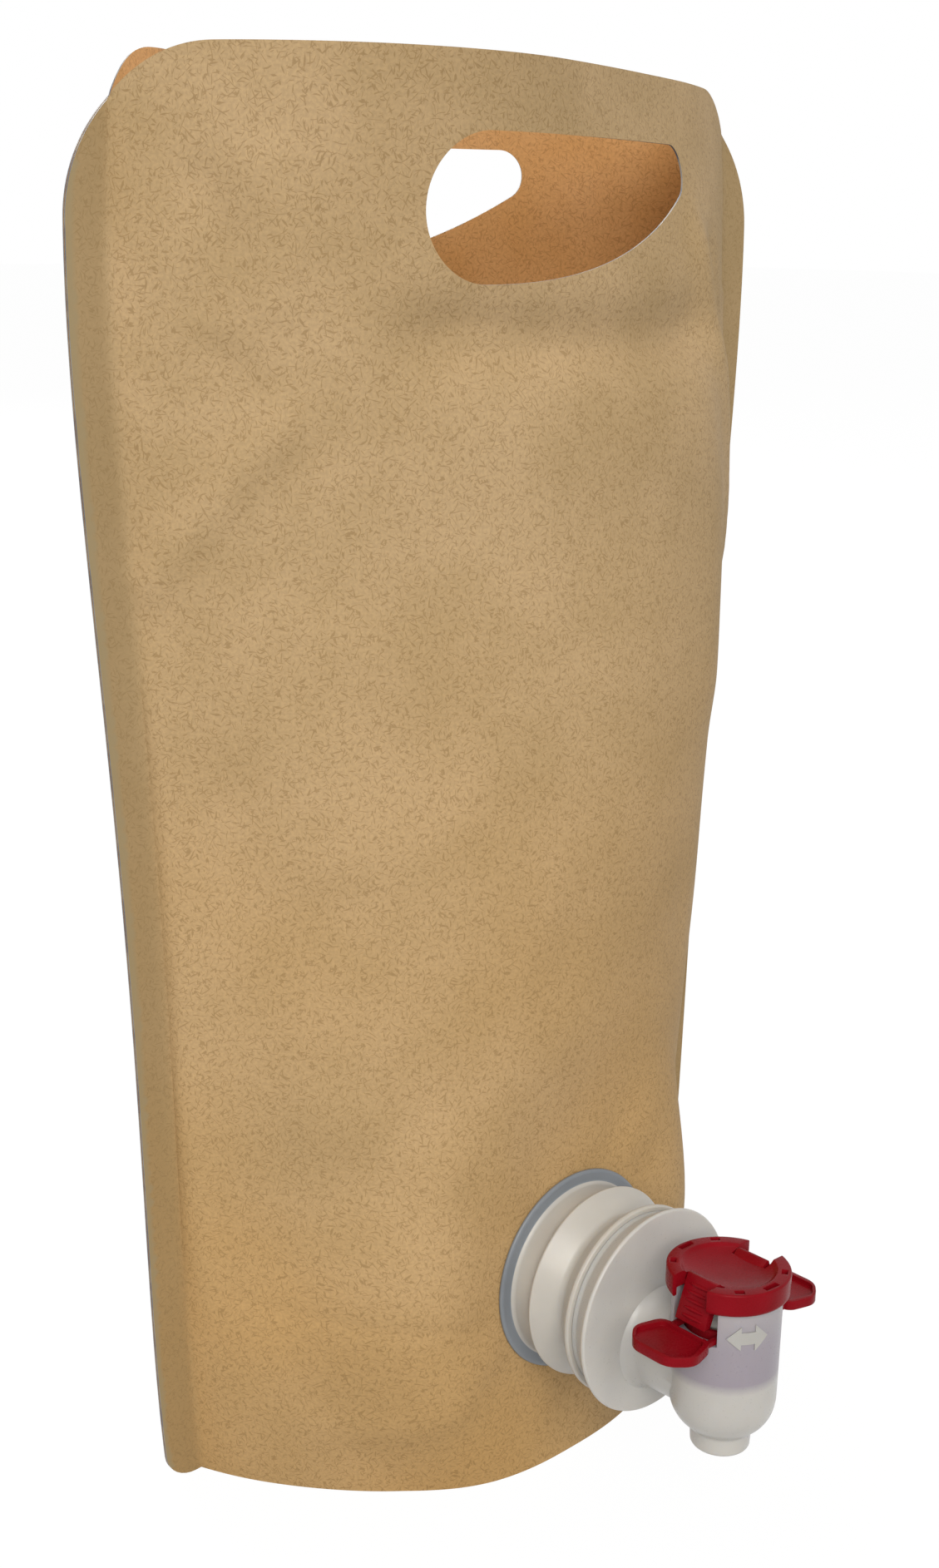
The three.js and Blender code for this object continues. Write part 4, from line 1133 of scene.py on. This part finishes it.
def rib_tree():
    """Raised bars down a sloping face: how many, how far apart, how wide and how high."""
    tree = bpy.data.node_groups.new("tab_ribs", "GeometryNodeTree")
    face = tree.interface
    face.new_socket(name="Geometry", in_out="OUTPUT", socket_type="NodeSocketGeometry")
    sizes = {}
    for name, kind, value in (
            ("Count", "NodeSocketInt", 5), ("Start", "NodeSocketVector", (0, 0, 0)),
            ("Pitch", "NodeSocketVector", (0, 0, 1)), ("Bar Size", "NodeSocketVector", (1, 1, 1)),
            ("Lean", "NodeSocketVector", (0, 0, 0)), ("Finish", "NodeSocketMaterial", None)):
        socket = face.new_socket(name=name, in_out="INPUT", socket_type=kind)
        if value is not None:
            socket.default_value = value
        sizes[name] = socket.identifier
    given = tree.nodes.new("NodeGroupInput").outputs
    points = add(tree, "GeometryNodeMeshLine", {"mode": "OFFSET"}, {
        "Count": given["Count"], "Start Location": given["Start"], "Offset": given["Pitch"]})
    ball = add(tree, "GeometryNodeMeshUVSphere", inputs={
        "Segments": 20, "Rings": 14, "Radius": 1.0})
    spread = add(tree, "GeometryNodeInstanceOnPoints", inputs={
        "Points": points.outputs[0], "Instance": ball.outputs[0],
        "Rotation": given["Lean"], "Scale": given["Bar Size"]})
    real = add(tree, "GeometryNodeRealizeInstances", inputs={0: spread.outputs[0]})
    painted = add(tree, "GeometryNodeSetMaterial", inputs={
        "Geometry": real.outputs[0], "Material": given["Finish"]})
    end = tree.nodes.new("NodeGroupOutput")
    tree.links.new(painted.outputs[0], end.inputs[0])
    return tree, sizes


RIB_COUNT = 5
RIB_START_Z = 12.2
RIB_PITCH = 1.75
RIB_SIZE = (0.42, 3.2, 0.5)    # half of each bar's depth, width and height

ribs_tree, rib_inputs = rib_tree()
rib_start_x = TAB_TOP_X + TAB_SLOPE * (TAB_TOP_Z - RIB_START_Z)
for side in (-1, 1):
    ribs = make_object("ribs", [], [], ())
    work = ribs.modifiers.new("ribs", "NODES")
    work.node_group = ribs_tree
    values = {
        "Count": RIB_COUNT,
        "Start": (side * rib_start_x, -BARREL_OFF, RIB_START_Z),
        "Pitch": (-side * TAB_SLOPE * RIB_PITCH, 0, RIB_PITCH),
        "Bar Size": RIB_SIZE,
        "Lean": (0, -side * math.atan(TAB_SLOPE), 0),
        "Finish": red_gloss,
    }
    for name, value in values.items():
        work[rib_inputs[name]] = value
    settled(ribs)
    join_meshes(cap, ribs)
seat_in_tap(cap, "tap_cap_moulding", (red_gloss,), 40)

# Trigger

WING_Z, WING_T, WING_RIM_H, WING_RIM_W = 7.3, 1.2, 1.1, 1.2
WING_START, WING_WIDEST, WING_TIP = 14.2, 22.4, 27.6
ROOT_HALF, WIDE_HALF, TIP_HALF = 7.6, 9.8, 5.5
ARM_HALF = 6.3
PLUNGER_R, PLUNGER_WALL_R, GROOVE_R = 10.1, 8.9, 8.7
STEM_R = 2.4


def wing_outline(inset, side):
    """A wing from above, six-cornered, widest halfway out."""
    corners = [
        (WING_START + inset, -ROOT_HALF + inset), (WING_WIDEST, -WIDE_HALF + inset),
        (WING_TIP - inset, -TIP_HALF), (WING_TIP - inset, TIP_HALF),
        (WING_WIDEST, WIDE_HALF - inset), (WING_START + inset, ROOT_HALF - inset)]
    path = eased(corners, True, max(2.6 - inset, 1.4), 6)
    return [(side * x, side * y) for x, y in path]


def wing(side):
    """A dished finger wing on two arms, which pass the tab on both sides."""
    top = WING_Z + WING_T
    made = prism("wing", wing_outline(0, side), WING_Z, top + WING_RIM_H)
    dish = prism("dish", wing_outline(WING_RIM_W, side), top, top + 4)
    low, high = sorted((side * 6.8, side * 15.4))
    arms = box_between("arms", (low, -ARM_HALF, WING_Z), (high, ARM_HALF, top))
    low, high = sorted((0.0, side * 14.6))
    window = box_between("window", (low, -5, WING_Z - 3), (high, 5, top + 4))
    combine(made, "DIFFERENCE", dish)
    combine(made, "UNION", arms)
    return combine(made, "DIFFERENCE", window)


trigger = turned("trigger", [
    (0, -14.7), (STEM_R, -14.7, 0.4), (STEM_R, -4, 0.5), (PLUNGER_R, -4, 0.3),
    (PLUNGER_R, -3.55, 0.1), (GROOVE_R, -3.55, 0.1), (GROOVE_R, -1.35, 0.1),
    (PLUNGER_R, -1.35, 0.1), (PLUNGER_R, 9, 0.3), (PLUNGER_WALL_R, 9, 0.3),
    (PLUNGER_WALL_R, -0.9, 0.4), (0, -0.9)], sides=SMALL_ROUND)
for side in (-1, 1):
    combine(trigger, "UNION", wing(side))
bevelled(trigger, 0.3, 3)
seat_in_tap(trigger, "trigger_moulding", (red_gloss,), 40)

# Soft pieces

seal = seat_in_tap(turned("seal", [
    (0, -15.9), (7.4, -15.9, 0.4), (7.4, -14.4, 0.5), (4.2, -13.4, 0.8), (4.2, -12.4, 0.3),
    (2.7, -12.4, 0.2), (2.7, -15.0, 0.1), (0, -15.0)], sides=SMALL_ROUND),
    "valve_seal_disc", (soft_white,))
ring = seat_in_tap(turned("ring", [
    (9.0, -3.25), (10.3, -3.25, 0.45), (10.3, -1.65, 0.45), (9.0, -1.65)],
    sides=SMALL_ROUND), "plunger_ring_lip", (soft_white,))

BELLOWS_LOW, BELLOWS_HIGH = -0.6, 17.6
BELLOWS_FOLDS = 8
BELLOWS_R, BELLOWS_WALL = 7.4, 0.8
FOLD_DEPTH = 1.6


def bellows_profile():
    """A zigzag wall: out and in from fold to fold, then back along its inner side."""
    outer, inner = [], []
    for i in range(BELLOWS_FOLDS + 1):
        z = BELLOWS_LOW + (BELLOWS_HIGH - BELLOWS_LOW) * i / BELLOWS_FOLDS
        r = BELLOWS_R if i % 2 == 0 else BELLOWS_R - FOLD_DEPTH
        outer.append((r, z, 0.6))
        inner.insert(0, (r - BELLOWS_WALL, z, 0.6))
    return outer + inner


bellows = seat_in_tap(
    turned("bellows", bellows_profile(), sides=SMALL_ROUND), "return_bellows_folds",
    (soft_white,))

# Pieces ride with the solids that they stand for

for piece, node, body in (
        (front, "front_panel", "pouch"), (back, "back_panel", "pouch"),
        (gusset, "bottom_gusset", "pouch"), (gland, "spout_gland", "pouch"),
        (plate, "tap_body", "pouch"), (cap, "tap_cap", "pouch"),
        (bellows, "return_bellows", "pouch"), (trigger, "trigger", "press_trigger"),
        (seal, "valve_seal", "press_trigger"), (ring, "plunger_ring", "press_trigger")):
    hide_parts(node)
    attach(piece, body)

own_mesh(bellows)

# Camera, light and floor

PHOTO_HIGH = 1885              # pixels
LENS_PIXELS = 2103.61          # the lens's reach in the photograph's pixels
SENSOR = 36.0
CAMERA_PLACE = (-295.03, -335.26, 315.69)
PITCH, ROLL, AZIMUTH = (math.radians(a) for a in (17.718, 0.740, -41.943))
across = Vector((math.cos(AZIMUTH), math.sin(AZIMUTH), 0))
level = Vector((-math.sin(AZIMUTH), math.cos(AZIMUTH), 0))
ahead = level * math.cos(PITCH) - Vector((0, 0, 1)) * math.sin(PITCH)
over = level * math.sin(PITCH) + Vector((0, 0, 1)) * math.cos(PITCH)
right = across * math.cos(ROLL) + over * math.sin(ROLL)
above = -across * math.sin(ROLL) + over * math.cos(ROLL)

camera_data = bpy.data.cameras.new("photo_view")
camera_data.sensor_fit = "VERTICAL"
camera_data.sensor_height = SENSOR
camera_data.lens = LENS_PIXELS * SENSOR / PHOTO_HIGH
camera_data.clip_start = 0.01
camera = bpy.data.objects.new("photo_view", camera_data)
bpy.context.scene.collection.objects.link(camera)
spot = (Vector(CAMERA_PLACE) + SEAM) * MM
camera.matrix_world = Matrix((
    (right.x, above.x, -ahead.x, spot.x),
    (right.y, above.y, -ahead.y, spot.y),
    (right.z, above.z, -ahead.z, spot.z),
    (0, 0, 0, 1)))
bpy.context.scene.camera = camera


LIGHT_AIM = Vector((0, 0, 0.16))


def softbox(name, place, size, power, colour):
    """A round soft light that faces the middle of the pouch."""
    data = bpy.data.lights.new(name, "AREA")
    data.shape = "DISK"
    data.size = size
    data.energy = power
    data.color = linear(colour)[:3]
    made = bpy.data.objects.new(name, data)
    made.location = place
    made.rotation_euler = (LIGHT_AIM - Vector(place)).to_track_quat("-Z", "Y").to_euler()
    bpy.context.scene.collection.objects.link(made)


softbox("window_light", (-1.35, -1.8, 1.75), 2.0, 65, "fffbf5")
softbox("room_fill", (1.6, -0.6, 1.1), 1.8, 0.5, "f4f6ff")
softbox("top_light", (0.1, 0.6, 2.0), 1.6, 8, "ffffff")
softbox("rear_light", (0.5, 2.1, 1.5), 2.0, 40, "fffdf9")


def seen_straight(tree):
    """1 for rays from the camera, in reflections and through glass, and 0 for lighting."""
    path = add(tree, "ShaderNodeLightPath").outputs
    share = path["Is Camera Ray"]
    for ray in ("Is Glossy Ray", "Is Transmission Ray"):
        share = add(tree, "ShaderNodeMath", PLUS, {0: share, 1: path[ray]}).outputs[0]
    return add(tree, "ShaderNodeMath", {"operation": "MINIMUM"}, {0: share, 1: 1.0}).outputs[0]


def white_room():
    """Plain room light for the object, and clean white where it is seen straight."""
    world = bpy.data.worlds.new("room")
    bpy.context.scene.world = world
    world.use_nodes = True
    tree = world.node_tree
    tree.nodes.clear()
    strength = add(tree, "ShaderNodeMapRange", inputs={
        "Value": seen_straight(tree), "To Min": 0.36, "To Max": 1.0})
    glow = add(tree, "ShaderNodeBackground", inputs={
        "Color": (1, 1, 1, 1), "Strength": strength.outputs[0]})
    add(tree, "ShaderNodeOutputWorld", inputs={"Surface": glow.outputs[0]})


FLOOR_HALF = 12.0


def pale_floor():
    """A wide pale floor, painted matt, that keeps a soft trace of the shadow."""
    made = make_object("pale_floor", [
        (-FLOOR_HALF, -FLOOR_HALF, 0), (FLOOR_HALF, -FLOOR_HALF, 0),
        (FLOOR_HALF, FLOOR_HALF, 0), (-FLOOR_HALF, FLOOR_HALF, 0)], [(0, 1, 2, 3)], ())
    paint, tree = new_material("matt_floor_paint")
    where = add(tree, "ShaderNodeTexCoord").outputs["Object"]
    cloud = add(tree, "ShaderNodeTexNoise", inputs={"Vector": where, "Scale": 3.0})
    colour = add(tree, "ShaderNodeMix", COLOUR, {
        0: cloud.outputs[0], 6: linear("b2b2b2"), 7: linear("b8b8b8")})
    matt = add(tree, "ShaderNodeBsdfDiffuse", inputs={"Color": colour.outputs[2]})
    white = add(tree, "ShaderNodeEmission", inputs={"Color": (1, 1, 1, 1), "Strength": 1.04})
    share = add(tree, "ShaderNodeMath", TIMES, {0: seen_straight(tree), 1: 0.94})
    mix = add(tree, "ShaderNodeMixShader", inputs={
        0: share.outputs[0], 1: matt.outputs[0], 2: white.outputs[0]})
    add(tree, "ShaderNodeOutputMaterial", inputs={"Surface": mix.outputs[0]})
    made.data.materials.append(paint)
    made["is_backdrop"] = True


white_room()
pale_floor()
bpy.context.scene.view_settings.view_transform = "Standard"

low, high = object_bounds()
